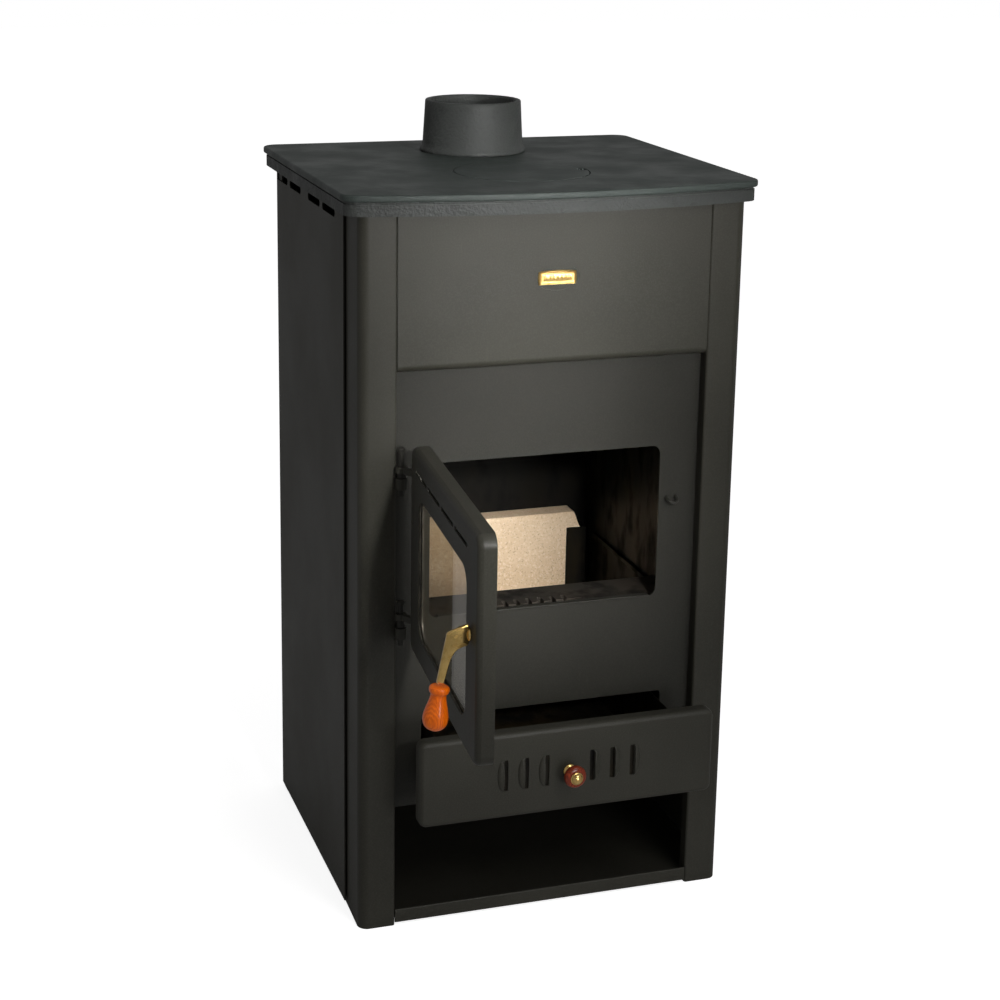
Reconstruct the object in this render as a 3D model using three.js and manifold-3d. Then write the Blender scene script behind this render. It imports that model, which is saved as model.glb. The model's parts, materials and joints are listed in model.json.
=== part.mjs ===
// A free-standing wood burning stove: sheet-steel casing on angle posts, cast-iron cooking top with a
// round lid and a flue spigot, welded firebox with grate and firebrick, glazed fire door standing open,
// ash drawer pulled part of the way out, and an open log store below.
// Millimetres, +Z up. Every builder below works with x = 0 on the middle plane, y = 0 on the front face
// of the front posts (+y into the stove) and z = 0 on the floor.
import * as THREE from "three";
import { mergeVertices } from "three/addons/utils/BufferGeometryUtils.js";
import Module from "manifold-3d";

const wasm = await Module();
wasm.setup();

// ---------------------------------------------------------------- driving dimensions
const GAP = 0.3; // left between pieces that touch
const HALF_WIDTH = 230; // posts, outside
const DEPTH = 408.5; // posts' front face to the back of the casing
const PLATE_TOP = 877; // cooking surface above the floor
const PLATE_THICKNESS = 8;
const SKIRT_DEPTH = 24; // cooking surface to the lower edge of the top's skirt
const CASING_TOP = PLATE_TOP - PLATE_THICKNESS - 0.4;
const SHEET = 1.5; // casing panels
const POST_SHEET = 2;
const FIRE_SHEET = 3; // firebox plates

const POST_WIDTH = 43.3; // front leg of a front post
const POST_LEG = 88; // side leg of a front post
const POST_ROUND = 12;
const POST_RETURN = 16; // the inner leg turns back to the firebox front plate

const PANEL_SEAM = 64.8; // where a side panel starts, behind the front corner
const PANEL_BOTTOM = 5;
const VENT = { length: 60, height: 9.5, z: 840.4, pairs: [169, 338.5], pitch: 72 };

const UPPER_PANEL_BOTTOM = 675.5;
const BADGE = { width: 46, height: 16.5, z: 775.5, recessWidth: 54, recessHeight: 30 };

const TOP = { halfWidth: 248, front: -31, back: 426, bow: 1005.4, frontRound: 22, backRound: 20 };
const LID = { y: 128.5, radius: 79.2, clearance: 1.4, seat: 70 };
const FLUE = { y: 317.7, bore: 53.5, top: 941, topRadius: 59.7, baseRadius: 62.7, footRadius: 66 };

const INNER_HALF = 189.5; // firebox, outside
const FIRE_BACK = 378; // firebox, outside at the back
const FRONT_PLATE_Y = 16;
const FRONT_PLATE_BOTTOM = 145;
const MOUTH = { halfWidth: 140, bottom: 377.5, top: 564, round: 10 };
const ASH_MOUTH = { halfWidth: 151, bottom: 158, top: 254, round: 4 };
const FLOOR_Z = 256;
const GRATE = { halfWidth: 139, front: 70, back: 331, top: 266.8, pitch: 15, slots: 17 };
const HEARTH_LIP = 8; // depth of the strip on the lower edge of the fire mouth
const GUARD = { halfWidth: 184, back: 95, top: 372, thickness: 8, comb: 47, pitch: 15, slots: 6 };
const BRICK = { halfWidth: 170, front: 345, top: 377.5, shoulder: 354 };
const BAFFLE_Z = 640;

const PIN = { x: -184.3, y: -9, radius: 3 };
const HINGES = [
  { label: "upper", pin: [536.5, 592.5], stoveLug: [545, 558], doorLug: [564, 571] },
  { label: "lower", pin: [358.5, 412.5], stoveLug: [367, 380], doorLug: [390, 397] },
];
const EYE_RADIUS = 6.5;

const DOOR = { offset: 26, width: 323.5, bottom: 364.5, top: 604.5, depth: 19, wall: 1.5 };
const DOOR_OPEN = 94.7; // degrees that the door stands open
const DOOR_FACE = 5.5; // outer face, behind the hinge axis
const WINDOW = { left: 45, right: 277, bottom: 396, top: 556, round: 21 };
const AIR_SLOT = { count: 4, length: 57, height: 5, first: 28, pitch: 64, z: 580 };
const SPINDLE = { along: 296, z: 496, radius: 4.2 };
const GRIP_TILT = 7; // degrees off plumb, away from the door

const DRAWER = { halfWidth: 180, bottom: 161, top: 265, depth: 16.5, pulled: 77 };
const DRAWER_BOX = { halfWidth: 146, bottom: 167, top: 246, back: 340 };
const LOUVRES = { places: [30, 55, 80], height: 40, z: 214 };
const KNOB_Z = 211;

const RIGHT_ANGLE = Math.PI / 2;

// ---------------------------------------------------------------- finishes
const FINISHES = {
  casing: { color: 0x2e2d2a, roughness: 0.55, metalness: 0.3 },
  castIron: { color: 0x232725, roughness: 0.75, metalness: 0.4 },
  firePlate: { color: 0x2b2a27, roughness: 0.6, metalness: 0.3 },
  bareSteel: { color: 0x4a4540, roughness: 0.6, metalness: 0.7 },
  brass: { color: 0xc9a24a, roughness: 0.25, metalness: 1.0 },
  gripWood: { color: 0xb5501a, roughness: 0.2, metalness: 0.0 },
  knobWood: { color: 0x6e2410, roughness: 0.25, metalness: 0.0 },
  brick: { color: 0xd9c3a0, roughness: 0.95, metalness: 0.0 },
  glass: { color: 0xe8e4d8, roughness: 0.05, metalness: 0.0 },
  seal: { color: 0x55524c, roughness: 0.95, metalness: 0.0 },
};

function piece(name, geometry, finish) {
  const mesh = new THREE.Mesh(geometry, new THREE.MeshStandardMaterial(FINISHES[finish]));
  mesh.name = name;
  return mesh;
}

// ---------------------------------------------------------------- solids
function solidOf(geometry) {
  const bare = geometry.index ? geometry.toNonIndexed() : geometry.clone();
  bare.deleteAttribute("normal");
  bare.deleteAttribute("uv");
  const merged = mergeVertices(bare, 1e-4);
  return new wasm.Manifold(
    new wasm.Mesh({
      numProp: 3,
      vertProperties: merged.attributes.position.array,
      triVerts: new Uint32Array(merged.index.array),
    }),
  );
}

function geometryOf(solid) {
  const mesh = solid.getMesh();
  const positions = new Float32Array(mesh.numVert * 3);
  for (let i = 0; i < mesh.numVert; i++) {
    const from = i * mesh.numProp;
    positions.set(mesh.vertProperties.subarray(from, from + 3), i * 3);
  }
  const geometry = new THREE.BufferGeometry();
  geometry.setAttribute("position", new THREE.BufferAttribute(positions, 3));
  geometry.setIndex(new THREE.BufferAttribute(mesh.triVerts, 1));
  const flat = geometry.toNonIndexed();
  flat.computeVertexNormals();
  return flat;
}

function cut(base, tools) {
  const left = tools.reduce((solid, tool) => solid.subtract(solidOf(tool)), solidOf(base));
  return geometryOf(left);
}

function join(geometries) {
  const [first, ...others] = geometries.map(solidOf);
  return geometryOf(others.reduce((solid, other) => solid.add(other), first));
}

function keepInside(base, region) {
  return geometryOf(solidOf(base).intersect(solidOf(region)));
}

// ---------------------------------------------------------------- outlines and plain bodies
function block([x0, x1], [y0, y1], [z0, z1]) {
  const box = new THREE.BoxGeometry(x1 - x0, y1 - y0, z1 - z0);
  return box.translate((x0 + x1) / 2, (y0 + y1) / 2, (z0 + z1) / 2);
}

function polygon(points) {
  return new THREE.Shape(points.map(([x, y]) => new THREE.Vector2(x, y)));
}

function roundedRectangle([x0, x1], [y0, y1], radius) {
  const shape = new THREE.Shape();
  shape.absarc(x1 - radius, y0 + radius, radius, -RIGHT_ANGLE, 0, false);
  shape.absarc(x1 - radius, y1 - radius, radius, 0, RIGHT_ANGLE, false);
  shape.absarc(x0 + radius, y1 - radius, radius, RIGHT_ANGLE, Math.PI, false);
  shape.absarc(x0 + radius, y0 + radius, radius, Math.PI, 3 * RIGHT_ANGLE, false);
  return shape;
}

function ellipse([cx, cy], rx, ry) {
  const shape = new THREE.Shape();
  shape.absellipse(cx, cy, rx, ry, 0, 2 * Math.PI, false);
  return shape;
}

// The outline reflected in the middle plane when side is -1.
function onSide(shape, side, segments = 6) {
  return polygon(shape.getPoints(segments).map((point) => [side * point.x, point.y]));
}

// An outline in x and y, raised from z0 to z1.
function raise(shape, [z0, z1], segments = 6) {
  const options = { depth: z1 - z0, bevelEnabled: false, curveSegments: segments };
  return new THREE.ExtrudeGeometry(shape, options).translate(0, 0, z0);
}

// An outline in x and z, swept from y0 to y1.
function sweepY(shape, [y0, y1], segments = 6) {
  const options = { depth: y1 - y0, bevelEnabled: false, curveSegments: segments };
  return new THREE.ExtrudeGeometry(shape, options).rotateX(RIGHT_ANGLE).translate(0, y1, 0);
}

// An outline in y and z, swept from x0 to x1.
function sweepX(shape, [x0, x1], segments = 6) {
  const options = { depth: x1 - x0, bevelEnabled: false, curveSegments: segments };
  const turn = new THREE.Matrix4().makeBasis(
    new THREE.Vector3(0, 1, 0),
    new THREE.Vector3(0, 0, 1),
    new THREE.Vector3(1, 0, 0),
  );
  return new THREE.ExtrudeGeometry(shape, options).applyMatrix4(turn).translate(x0, 0, 0);
}

function rod([x, y], [z0, z1], radius, segments = 24) {
  const cylinder = new THREE.CylinderGeometry(radius, radius, z1 - z0, segments);
  return cylinder.rotateX(RIGHT_ANGLE).translate(x, y, (z0 + z1) / 2);
}

function rodAlongY([x, z], [y0, y1], radius, segments = 20) {
  const cylinder = new THREE.CylinderGeometry(radius, radius, y1 - y0, segments);
  return cylinder.translate(x, (y0 + y1) / 2, z);
}

// A turned body from [radius, height] pairs, with its axis upright.
function turned(profile, segments) {
  const points = profile.map(([radius, height]) => new THREE.Vector2(radius, height));
  return new THREE.LatheGeometry(points, segments).rotateX(RIGHT_ANGLE);
}

// A slab in x and z whose edges are rounded at the front and the back.
function softSlab(xs, zs, corner, edge, [y0, y1]) {
  const inner = roundedRectangle(
    [xs[0] + edge, xs[1] - edge],
    [zs[0] + edge, zs[1] - edge],
    Math.max(corner - edge, 0.5),
  );
  const slab = new THREE.ExtrudeGeometry(inner, {
    depth: y1 - y0 - 2 * edge,
    bevelThickness: edge,
    bevelSize: edge,
    bevelSegments: 3,
    curveSegments: 4,
  });
  return slab.rotateX(RIGHT_ANGLE).translate(0, y1 - edge, 0);
}

// A pressed pan: a face at y0 with rounded edges and a rim that ends at y1, open at the back.
function pressedPan(xs, zs, [y0, y1], wall, corner, edge) {
  const beyond = y1 + 2 * edge;
  const outer = keepInside(
    softSlab(xs, zs, corner, edge, [y0, beyond]),
    block([xs[0] - 1, xs[1] + 1], [y0 - 1, y1], [zs[0] - 1, zs[1] + 1]),
  );
  const hollow = softSlab(
    [xs[0] + wall, xs[1] - wall],
    [zs[0] + wall, zs[1] - wall],
    corner - wall,
    edge - wall,
    [y0 + wall, beyond],
  );
  return cut(outer, [hollow]);
}

// ---------------------------------------------------------------- casing
function frontPostOutline() {
  const outer = HALF_WIDTH;
  const inner = HALF_WIDTH - POST_WIDTH;
  const end = POST_RETURN - GAP;
  const round = POST_ROUND;
  const shape = new THREE.Shape();
  shape.moveTo(outer, POST_LEG);
  shape.absarc(outer - round, round, round, 0, -RIGHT_ANGLE, true);
  shape.absarc(inner + 3, 3, 3, -RIGHT_ANGLE, -Math.PI, true);
  shape.lineTo(inner, end);
  shape.lineTo(inner + POST_SHEET, end);
  shape.absarc(inner + 3, 3, 3 - POST_SHEET, Math.PI, 3 * RIGHT_ANGLE, false);
  shape.absarc(outer - round, round, round - POST_SHEET, -RIGHT_ANGLE, 0, false);
  shape.lineTo(outer - POST_SHEET, POST_LEG);
  return shape;
}

function rearPostOutline() {
  const outer = HALF_WIDTH - 0.1;
  const back = DEPTH - SHEET - 2.3;
  const leg = 20;
  return polygon([
    [outer, back],
    [outer - leg, back],
    [outer - leg, back - POST_SHEET],
    [outer - POST_SHEET, back - POST_SHEET],
    [outer - POST_SHEET, back - leg],
    [outer, back - leg],
  ]);
}

function sidePanelOutline() {
  const inner = HALF_WIDTH + GAP;
  const outer = inner + SHEET;
  const round = 3;
  const flange = 22;
  const shape = new THREE.Shape();
  shape.moveTo(inner, PANEL_SEAM);
  shape.lineTo(outer, PANEL_SEAM);
  shape.absarc(outer - round, DEPTH - round, round, 0, RIGHT_ANGLE, false);
  shape.lineTo(outer - flange, DEPTH);
  shape.lineTo(outer - flange, DEPTH - SHEET);
  shape.absarc(outer - round, DEPTH - round, round - SHEET, RIGHT_ANGLE, 0, true);
  return shape;
}

function ventCutters(side) {
  const low = HALF_WIDTH - 5;
  const high = HALF_WIDTH + 8;
  const xs = side > 0 ? [low, high] : [-high, -low];
  const cutters = [];
  for (const middle of VENT.pairs) {
    for (const step of [-0.5, 0.5]) {
      const y = middle + step * VENT.pitch;
      const pill = roundedRectangle(
        [y - VENT.length / 2, y + VENT.length / 2],
        [VENT.z - VENT.height / 2, VENT.z + VENT.height / 2],
        VENT.height / 2,
      );
      cutters.push(sweepX(pill, xs, 5));
    }
  }
  return cutters;
}

function buildBaseTray() {
  const half = HALF_WIDTH - POST_WIDTH - GAP;
  const hem = 1.5;
  const lipTop = 20;
  const lipBottom = 3;
  const floor = 10;
  const back = 404;
  const shape = new THREE.Shape();
  shape.absarc(hem, lipTop - hem, hem, Math.PI, 0, true);
  shape.lineTo(2 * hem, floor);
  shape.lineTo(back - POST_SHEET, floor);
  shape.lineTo(back - POST_SHEET, floor + 20);
  shape.lineTo(back, floor + 20);
  shape.lineTo(back, floor - POST_SHEET);
  shape.lineTo(2 * hem, floor - POST_SHEET);
  shape.absarc(hem, lipBottom + hem, hem, 0, -Math.PI, true);
  const tray = sweepX(shape, [-half, half], 3);
  const level = [floor - POST_SHEET, floor];
  const floorPlate = block([-HALF_WIDTH, HALF_WIDTH], [POST_LEG + 2, DEPTH - 26], level);
  const inPosts = HALF_WIDTH - POST_SHEET - GAP;
  const frontPlate = block([-inPosts, inPosts], [17, POST_LEG + 4], level);
  return piece("base_tray", join([tray, floorPlate, frontPlate]), "casing");
}

function buildUpperFrontPanel() {
  const half = HALF_WIDTH - POST_WIDTH - GAP;
  const round = 9;
  const curl = 13.5;
  const low = UPPER_PANEL_BOTTOM;
  const profile = new THREE.Shape();
  profile.moveTo(0, CASING_TOP);
  profile.absarc(round, low + round, round, Math.PI, 3 * RIGHT_ANGLE, false);
  profile.lineTo(curl, low);
  profile.lineTo(curl, low + SHEET);
  profile.absarc(round, low + round, round - SHEET, -RIGHT_ANGLE, -Math.PI, true);
  profile.lineTo(SHEET, CASING_TOP);
  const rx = BADGE.recessWidth / 2;
  const rz = BADGE.recessHeight / 2;
  const boss = sweepY(ellipse([0, BADGE.z], rx + 3, rz + 3), [SHEET - 0.2, 2 * SHEET + 0.3], 12);
  const recess = sweepY(ellipse([0, BADGE.z], rx, rz), [-1, SHEET + 0.3], 12);
  const pressed = cut(join([sweepX(profile, [-half, half]), boss]), [recess]);
  return piece("upper_front_panel", pressed, "casing");
}

function buildBadge() {
  const half = BADGE.width / 2;
  const low = BADGE.z - BADGE.height / 2;
  const shoulder = BADGE.z + BADGE.height / 2 - 3;
  const shape = new THREE.Shape();
  shape.absarc(half - 3, low + 3, 3, -RIGHT_ANGLE, 0, false);
  shape.lineTo(half, shoulder);
  shape.quadraticCurveTo(0, shoulder + 6, -half, shoulder);
  shape.absarc(-half + 3, low + 3, 3, Math.PI, 3 * RIGHT_ANGLE, false);
  return piece("badge", sweepY(shape, [-1, SHEET], 6), "brass");
}

function buildCasing() {
  const group = new THREE.Group();
  group.add(buildBaseTray(), buildUpperFrontPanel(), buildBadge());
  for (const [label, side] of [["left", -1], ["right", 1]]) {
    const front = raise(onSide(frontPostOutline(), side), [0, CASING_TOP]);
    const rear = raise(onSide(rearPostOutline(), side), [0, CASING_TOP]);
    const panel = raise(onSide(sidePanelOutline(), side), [PANEL_BOTTOM, CASING_TOP]);
    group.add(piece(`front_post_${label}`, front, "casing"));
    group.add(piece(`rear_post_${label}`, rear, "casing"));
    group.add(piece(`side_panel_${label}`, cut(panel, ventCutters(side)), "casing"));
  }
  const rearPanel = block([-226, 226], [DEPTH - 3.5, DEPTH - 2], [20, CASING_TOP]);
  group.add(piece("rear_panel", rearPanel, "casing"));
  return group;
}

// ---------------------------------------------------------------- cast top, lid and flue spigot
// The top's outline, drawn in by inset: a bowed front, tangent to its rounded corners.
function topOutline(inset) {
  const corner = TOP.halfWidth - TOP.frontRound;
  const swing = Math.asin(corner / (TOP.bow - TOP.frontRound));
  const bowY = TOP.front + TOP.bow;
  const cornerY = bowY - (TOP.bow - TOP.frontRound) * Math.cos(swing);
  const frontRound = TOP.frontRound - inset;
  const backRound = TOP.backRound - inset;
  const backX = TOP.halfWidth - TOP.backRound;
  const backY = TOP.back - TOP.backRound;
  const shape = new THREE.Shape();
  shape.absarc(0, bowY, TOP.bow - inset, -RIGHT_ANGLE - swing, -RIGHT_ANGLE + swing, false);
  shape.absarc(corner, cornerY, frontRound, -RIGHT_ANGLE + swing, 0, false);
  shape.absarc(backX, backY, backRound, 0, RIGHT_ANGLE, false);
  shape.absarc(-backX, backY, backRound, RIGHT_ANGLE, Math.PI, false);
  shape.absarc(-corner, cornerY, frontRound, Math.PI, 3 * RIGHT_ANGLE - swing, false);
  return shape;
}

function buildTopPlate() {
  const bottom = PLATE_TOP - PLATE_THICKNESS;
  const skirtBottom = PLATE_TOP - SKIRT_DEPTH;
  const edge = 2;
  const slab = new THREE.ExtrudeGeometry(topOutline(edge), {
    depth: PLATE_THICKNESS - 2 * edge,
    bevelThickness: edge,
    bevelSize: edge,
    bevelSegments: 2,
    curveSegments: 7,
  }).translate(0, 0, bottom + edge);
  const groove = raise(topOutline(5), [bottom - 3, bottom + 1], 7);
  const band = raise(topOutline(3.5), [skirtBottom, bottom - 3], 7);
  const hollow = raise(topOutline(6.5), [skirtBottom - 1, bottom], 7);
  const lidSeat = rod([0, LID.y], [PLATE_TOP - 7, PLATE_TOP + 1], LID.radius + LID.clearance, 48);
  const lidHole = rod([0, LID.y], [skirtBottom, PLATE_TOP + 1], LID.seat, 48);
  const flueHole = rod([0, FLUE.y], [skirtBottom, PLATE_TOP + 1], FLUE.bore + 1.5, 48);
  const skirt = cut(join([groove, band]), [hollow]);
  const plate = cut(join([slab, skirt]), [lidSeat, lidHole, flueHole]);
  return piece("top_plate", plate, "castIron");
}

function buildLid() {
  const seat = PLATE_TOP - 6.6;
  const disc = rod([0, LID.y], [seat, PLATE_TOP + 0.2], LID.radius, 48);
  const boss = rod([0, LID.y], [seat - 8, seat + 1], LID.seat - 0.6, 48);
  const notch = rod([LID.radius - 4, LID.y], [PLATE_TOP - 4, PLATE_TOP + 2], 6, 12);
  return piece("hotplate_lid", cut(join([disc, boss]), [notch]), "castIron");
}

function buildFlueCollar() {
  const base = PLATE_TOP + GAP;
  const collar = turned(
    [
      [FLUE.bore, base - 8],
      [FLUE.bore + 1.2, base - 8],
      [FLUE.bore + 1.2, base],
      [FLUE.footRadius, base],
      [FLUE.footRadius + 0.4, base + 3],
      [FLUE.baseRadius + 1.2, base + 7],
      [FLUE.baseRadius, base + 12],
      [FLUE.topRadius, FLUE.top],
      [FLUE.bore + 1, FLUE.top],
      [FLUE.bore, FLUE.top - 1.5],
      [FLUE.bore, base - 8],
    ],
    48,
  );
  return piece("flue_collar", collar.translate(0, FLUE.y, 0), "castIron");
}

// ---------------------------------------------------------------- firebox
function buildFrontPlate() {
  const back = FRONT_PLATE_Y + FIRE_SHEET;
  const through = [FRONT_PLATE_Y - 1, back + 1];
  const mouth = roundedRectangle(
    [-MOUTH.halfWidth, MOUTH.halfWidth],
    [MOUTH.bottom, MOUTH.top],
    MOUTH.round,
  );
  const ashMouth = roundedRectangle(
    [-ASH_MOUTH.halfWidth, ASH_MOUTH.halfWidth],
    [ASH_MOUTH.bottom, ASH_MOUTH.top],
    ASH_MOUTH.round,
  );
  const sheet = block(
    [-INNER_HALF, INNER_HALF],
    [FRONT_PLATE_Y, back],
    [FRONT_PLATE_BOTTOM, CASING_TOP],
  );
  const plate = cut(sheet, [sweepY(mouth, through), sweepY(ashMouth, through)]);
  return piece("firebox_front_plate", plate, "firePlate");
}

function buildFireboxShell() {
  const group = new THREE.Group();
  const front = FRONT_PLATE_Y + FIRE_SHEET + GAP;
  const inner = INNER_HALF - FIRE_SHEET - GAP;
  const ceiling = FRONT_PLATE_BOTTOM + FIRE_SHEET;
  const chamber = [ceiling + GAP, CASING_TOP];
  const rearFace = FIRE_BACK - FIRE_SHEET;
  for (const [label, side] of [["left", -1], ["right", 1]]) {
    const xs = [INNER_HALF - FIRE_SHEET, INNER_HALF].map((x) => side * x).sort((a, b) => a - b);
    const wall = block(xs, [front, FIRE_BACK], chamber);
    group.add(piece(`firebox_wall_${label}`, wall, "bareSteel"));
  }
  const rear = block([-inner, inner], [rearFace, FIRE_BACK], chamber);
  group.add(piece("firebox_wall_rear", rear, "bareSteel"));
  const store = block([-INNER_HALF, INNER_HALF], [front, FIRE_BACK], [FRONT_PLATE_BOTTOM, ceiling]);
  group.add(piece("log_store_ceiling", store, "firePlate"));
  const hole = block([-125, 125], [82, 318], [FLOOR_Z - 1, FLOOR_Z + 4]);
  const floor = block([-inner, inner], [front, rearFace - GAP], [FLOOR_Z, FLOOR_Z + FIRE_SHEET]);
  group.add(piece("firebox_floor", cut(floor, [hole]), "bareSteel"));
  return group;
}

function buildGrate() {
  const low = FLOOR_Z + FIRE_SHEET + GAP;
  const xs = [-GRATE.halfWidth, GRATE.halfWidth];
  const slab = raise(roundedRectangle(xs, [GRATE.front, GRATE.back], 8), [low, GRATE.top], 3);
  const rows = [
    [86, 192],
    [206, 315],
  ];
  const slots = [];
  for (let i = 0; i < GRATE.slots; i++) {
    const x = (i - (GRATE.slots - 1) / 2) * GRATE.pitch;
    for (const row of rows) {
      slots.push(raise(roundedRectangle([x - 3.5, x + 3.5], row, 3), [low - 1, GRATE.top + 1], 1));
    }
  }
  return piece("grate", cut(slab, slots), "castIron");
}

// The comb-like cast shelf behind the lower edge of the fire mouth, which keeps embers in.
function buildEmberGuard() {
  const low = GUARD.top - GUARD.thickness;
  const front = FRONT_PLATE_Y + FIRE_SHEET + GAP;
  const slab = block([-GUARD.halfWidth, GUARD.halfWidth], [front, GUARD.back], [low, GUARD.top]);
  const reach = [low - 1, GUARD.top + 1];
  const half = (GUARD.slots * GUARD.pitch) / 2 + 14;
  const cuts = [block([-half, half], [front - 1, GUARD.comb], reach)];
  for (let i = 0; i < GUARD.slots; i++) {
    const x = (i - (GUARD.slots - 1) / 2) * GUARD.pitch;
    const outline = roundedRectangle([x - 2.8, x + 2.8], [GUARD.comb - 6, GUARD.comb + 14], 2.7);
    cuts.push(raise(outline, reach, 2));
  }
  return piece("ember_guard", cut(slab, cuts), "castIron");
}

function buildFirebrick() {
  const low = FLOOR_Z + FIRE_SHEET + GAP;
  const back = FIRE_BACK - FIRE_SHEET - 2 * GAP;
  const half = BRICK.halfWidth;
  const outline = polygon([
    [-half, low],
    [half, low],
    [half, BRICK.shoulder],
    [half - 9, BRICK.top],
    [9 - half, BRICK.top],
    [-half, BRICK.shoulder],
  ]);
  return piece("firebrick_rear", sweepY(outline, [BRICK.front, back]), "brick");
}

// The angle that holds one end of the firebrick against the rear wall.
function buildBrickRetainer(label, side) {
  const low = FLOOR_Z + FIRE_SHEET + GAP;
  const front = BRICK.front - GAP - 2.5;
  const back = FIRE_BACK - FIRE_SHEET - GAP;
  const outline = polygon([
    [150, front],
    [178, front],
    [178, back],
    [175.5, back],
    [175.5, front + 2.5],
    [150, front + 2.5],
  ]);
  const angle = raise(onSide(outline, side), [low, BRICK.top - 22]);
  return piece(`brick_retainer_${label}`, angle, "bareSteel");
}

// Flat bars along the firebox side walls, one low down and one that carries the baffle.
function buildWallBars(label, side) {
  const wall = INNER_HALF - FIRE_SHEET - GAP;
  const bar = (depth, ys, zs) => {
    const xs = [wall - depth, wall].map((x) => side * x).sort((a, b) => a - b);
    return block(xs, ys, zs);
  };
  const low = bar(4.5, [40, 328], [346, 351]);
  const high = bar(12, [120, 360], [BAFFLE_Z - 5 - GAP, BAFFLE_Z - GAP]);
  return [
    piece(`wall_bar_${label}`, low, "bareSteel"),
    piece(`baffle_ledge_${label}`, high, "bareSteel"),
  ];
}

function buildHearthLip() {
  const half = MOUTH.halfWidth - MOUTH.round;
  const low = MOUTH.bottom + GAP;
  const front = FRONT_PLATE_Y - 3;
  const shape = new THREE.Shape();
  shape.absarc(front + 1.2, low + 1.2, 1.2, 3 * RIGHT_ANGLE, RIGHT_ANGLE, true);
  shape.lineTo(front + HEARTH_LIP, low + 2.4);
  shape.lineTo(front + HEARTH_LIP, low);
  return piece("hearth_lip", sweepX(shape, [-half, half], 4), "firePlate");
}

// A bent rod that stands out of the front plate beside the fire mouth, for the door's latch.
function buildStriker() {
  const middle = 155.4;
  const root = FRONT_PLATE_Y - 2 * GAP;
  const half = [
    [6, 0, 2.4],
    [6, 4.5, 0.8],
    [4.4, 8, -1.8],
  ];
  const at = (dx, out, up) => new THREE.Vector3(middle + dx, root - out, 498 + up);
  const path = new THREE.CatmullRomCurve3([
    ...half.map(([dx, out, up]) => at(-dx, out, up)),
    at(0, 9.2, -3),
    ...half.toReversed().map(([dx, out, up]) => at(dx, out, up)),
  ]);
  const options = { steps: 18, bevelEnabled: false, extrudePath: path, curveSegments: 5 };
  const bentRod = new THREE.ExtrudeGeometry(ellipse([0, 0], 2, 2), options);
  return piece("striker", bentRod, "bareSteel");
}

// The hinge eye and arm that are welded to the firebox front plate.
function buildStoveLug({ label, stoveLug }) {
  const eye = rod([PIN.x, PIN.y], stoveLug, EYE_RADIUS, 20);
  const arm = block([PIN.x - 1.5, PIN.x + 4.5], [PIN.y, FRONT_PLATE_Y - GAP], stoveLug);
  const bore = rod([PIN.x, PIN.y], [stoveLug[0] - 1, stoveLug[1] + 1], PIN.radius + GAP, 20);
  return piece(`stove_hinge_lug_${label}`, cut(join([eye, arm]), [bore]), "casing");
}

// The hinge pin, with a head above and a shoulder that the door's eye turns on.
function buildPin({ label, pin, stoveLug, doorLug }) {
  const head = 4;
  const shoulder = [stoveLug[1] + GAP, doorLug[0] - GAP];
  const profile = [
    [0, pin[0]],
    [PIN.radius, pin[0]],
    [PIN.radius, shoulder[0]],
    [PIN.radius + 1.5, shoulder[0]],
    [PIN.radius + 1.5, shoulder[1]],
    [PIN.radius, shoulder[1]],
    [PIN.radius, pin[1] - head],
    [PIN.radius + 1.6, pin[1] - head],
    [PIN.radius + 1.6, pin[1] - 1],
    [PIN.radius + 0.6, pin[1]],
    [0, pin[1]],
  ];
  return piece(`hinge_pin_${label}`, turned(profile, 20).translate(PIN.x, PIN.y, 0), "bareSteel");
}

function buildFirebox() {
  const group = new THREE.Group();
  group.add(buildFrontPlate(), buildFireboxShell(), buildGrate(), buildFirebrick());
  group.add(buildHearthLip(), buildEmberGuard(), buildStriker());
  for (const [label, side] of [["left", -1], ["right", 1]]) {
    group.add(buildBrickRetainer(label, side), ...buildWallBars(label, side));
  }
  const inner = INNER_HALF - FIRE_SHEET - GAP;
  const back = FIRE_BACK - FIRE_SHEET - GAP;
  const baffle = block([-inner + 2, inner - 2], [110, back], [BAFFLE_Z, BAFFLE_Z + 4]);
  group.add(piece("baffle_plate", baffle, "bareSteel"));
  for (const hinge of HINGES) {
    group.add(buildStoveLug(hinge), buildPin(hinge));
  }
  return group;
}

// ---------------------------------------------------------------- ash drawer
// One louvre: a hood pressed forward, open on the side that faces the middle of the drawer.
function louvre(x, face) {
  const away = Math.sign(x);
  const high = LOUVRES.height / 2;
  const dome = new THREE.SphereGeometry(1, 16, 12).scale(8, 3.6, high);
  dome.translate(x, face, LOUVRES.z);
  const half = [x, x + away * 9].sort((a, b) => a - b);
  const region = block(half, [face - 5, face + 1], [LOUVRES.z - high, LOUVRES.z + high]);
  return keepInside(dome, region);
}

function buildDrawerFront() {
  const back = FRONT_PLATE_Y - 0.5;
  const face = back - DRAWER.depth;
  const xs = [-DRAWER.halfWidth, DRAWER.halfWidth];
  const pan = pressedPan(xs, [DRAWER.bottom, DRAWER.top], [face, back], SHEET, 9, 5.5);
  const places = [...LOUVRES.places.map((x) => -x), ...LOUVRES.places];
  const slits = places.map((x) => {
    const from = x - Math.sign(x) * 5;
    const across = [from, x - Math.sign(x) * 0.1].sort((a, b) => a - b);
    const up = [LOUVRES.z - LOUVRES.height / 2 + 1, LOUVRES.z + LOUVRES.height / 2 - 1];
    return sweepY(roundedRectangle(across, up, 1.5), [face - 5, face + 4], 3);
  });
  const hoods = places.map((x) => louvre(x, face));
  return piece("ash_drawer_front", cut(join([pan, ...hoods]), slits), "casing");
}

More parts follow.
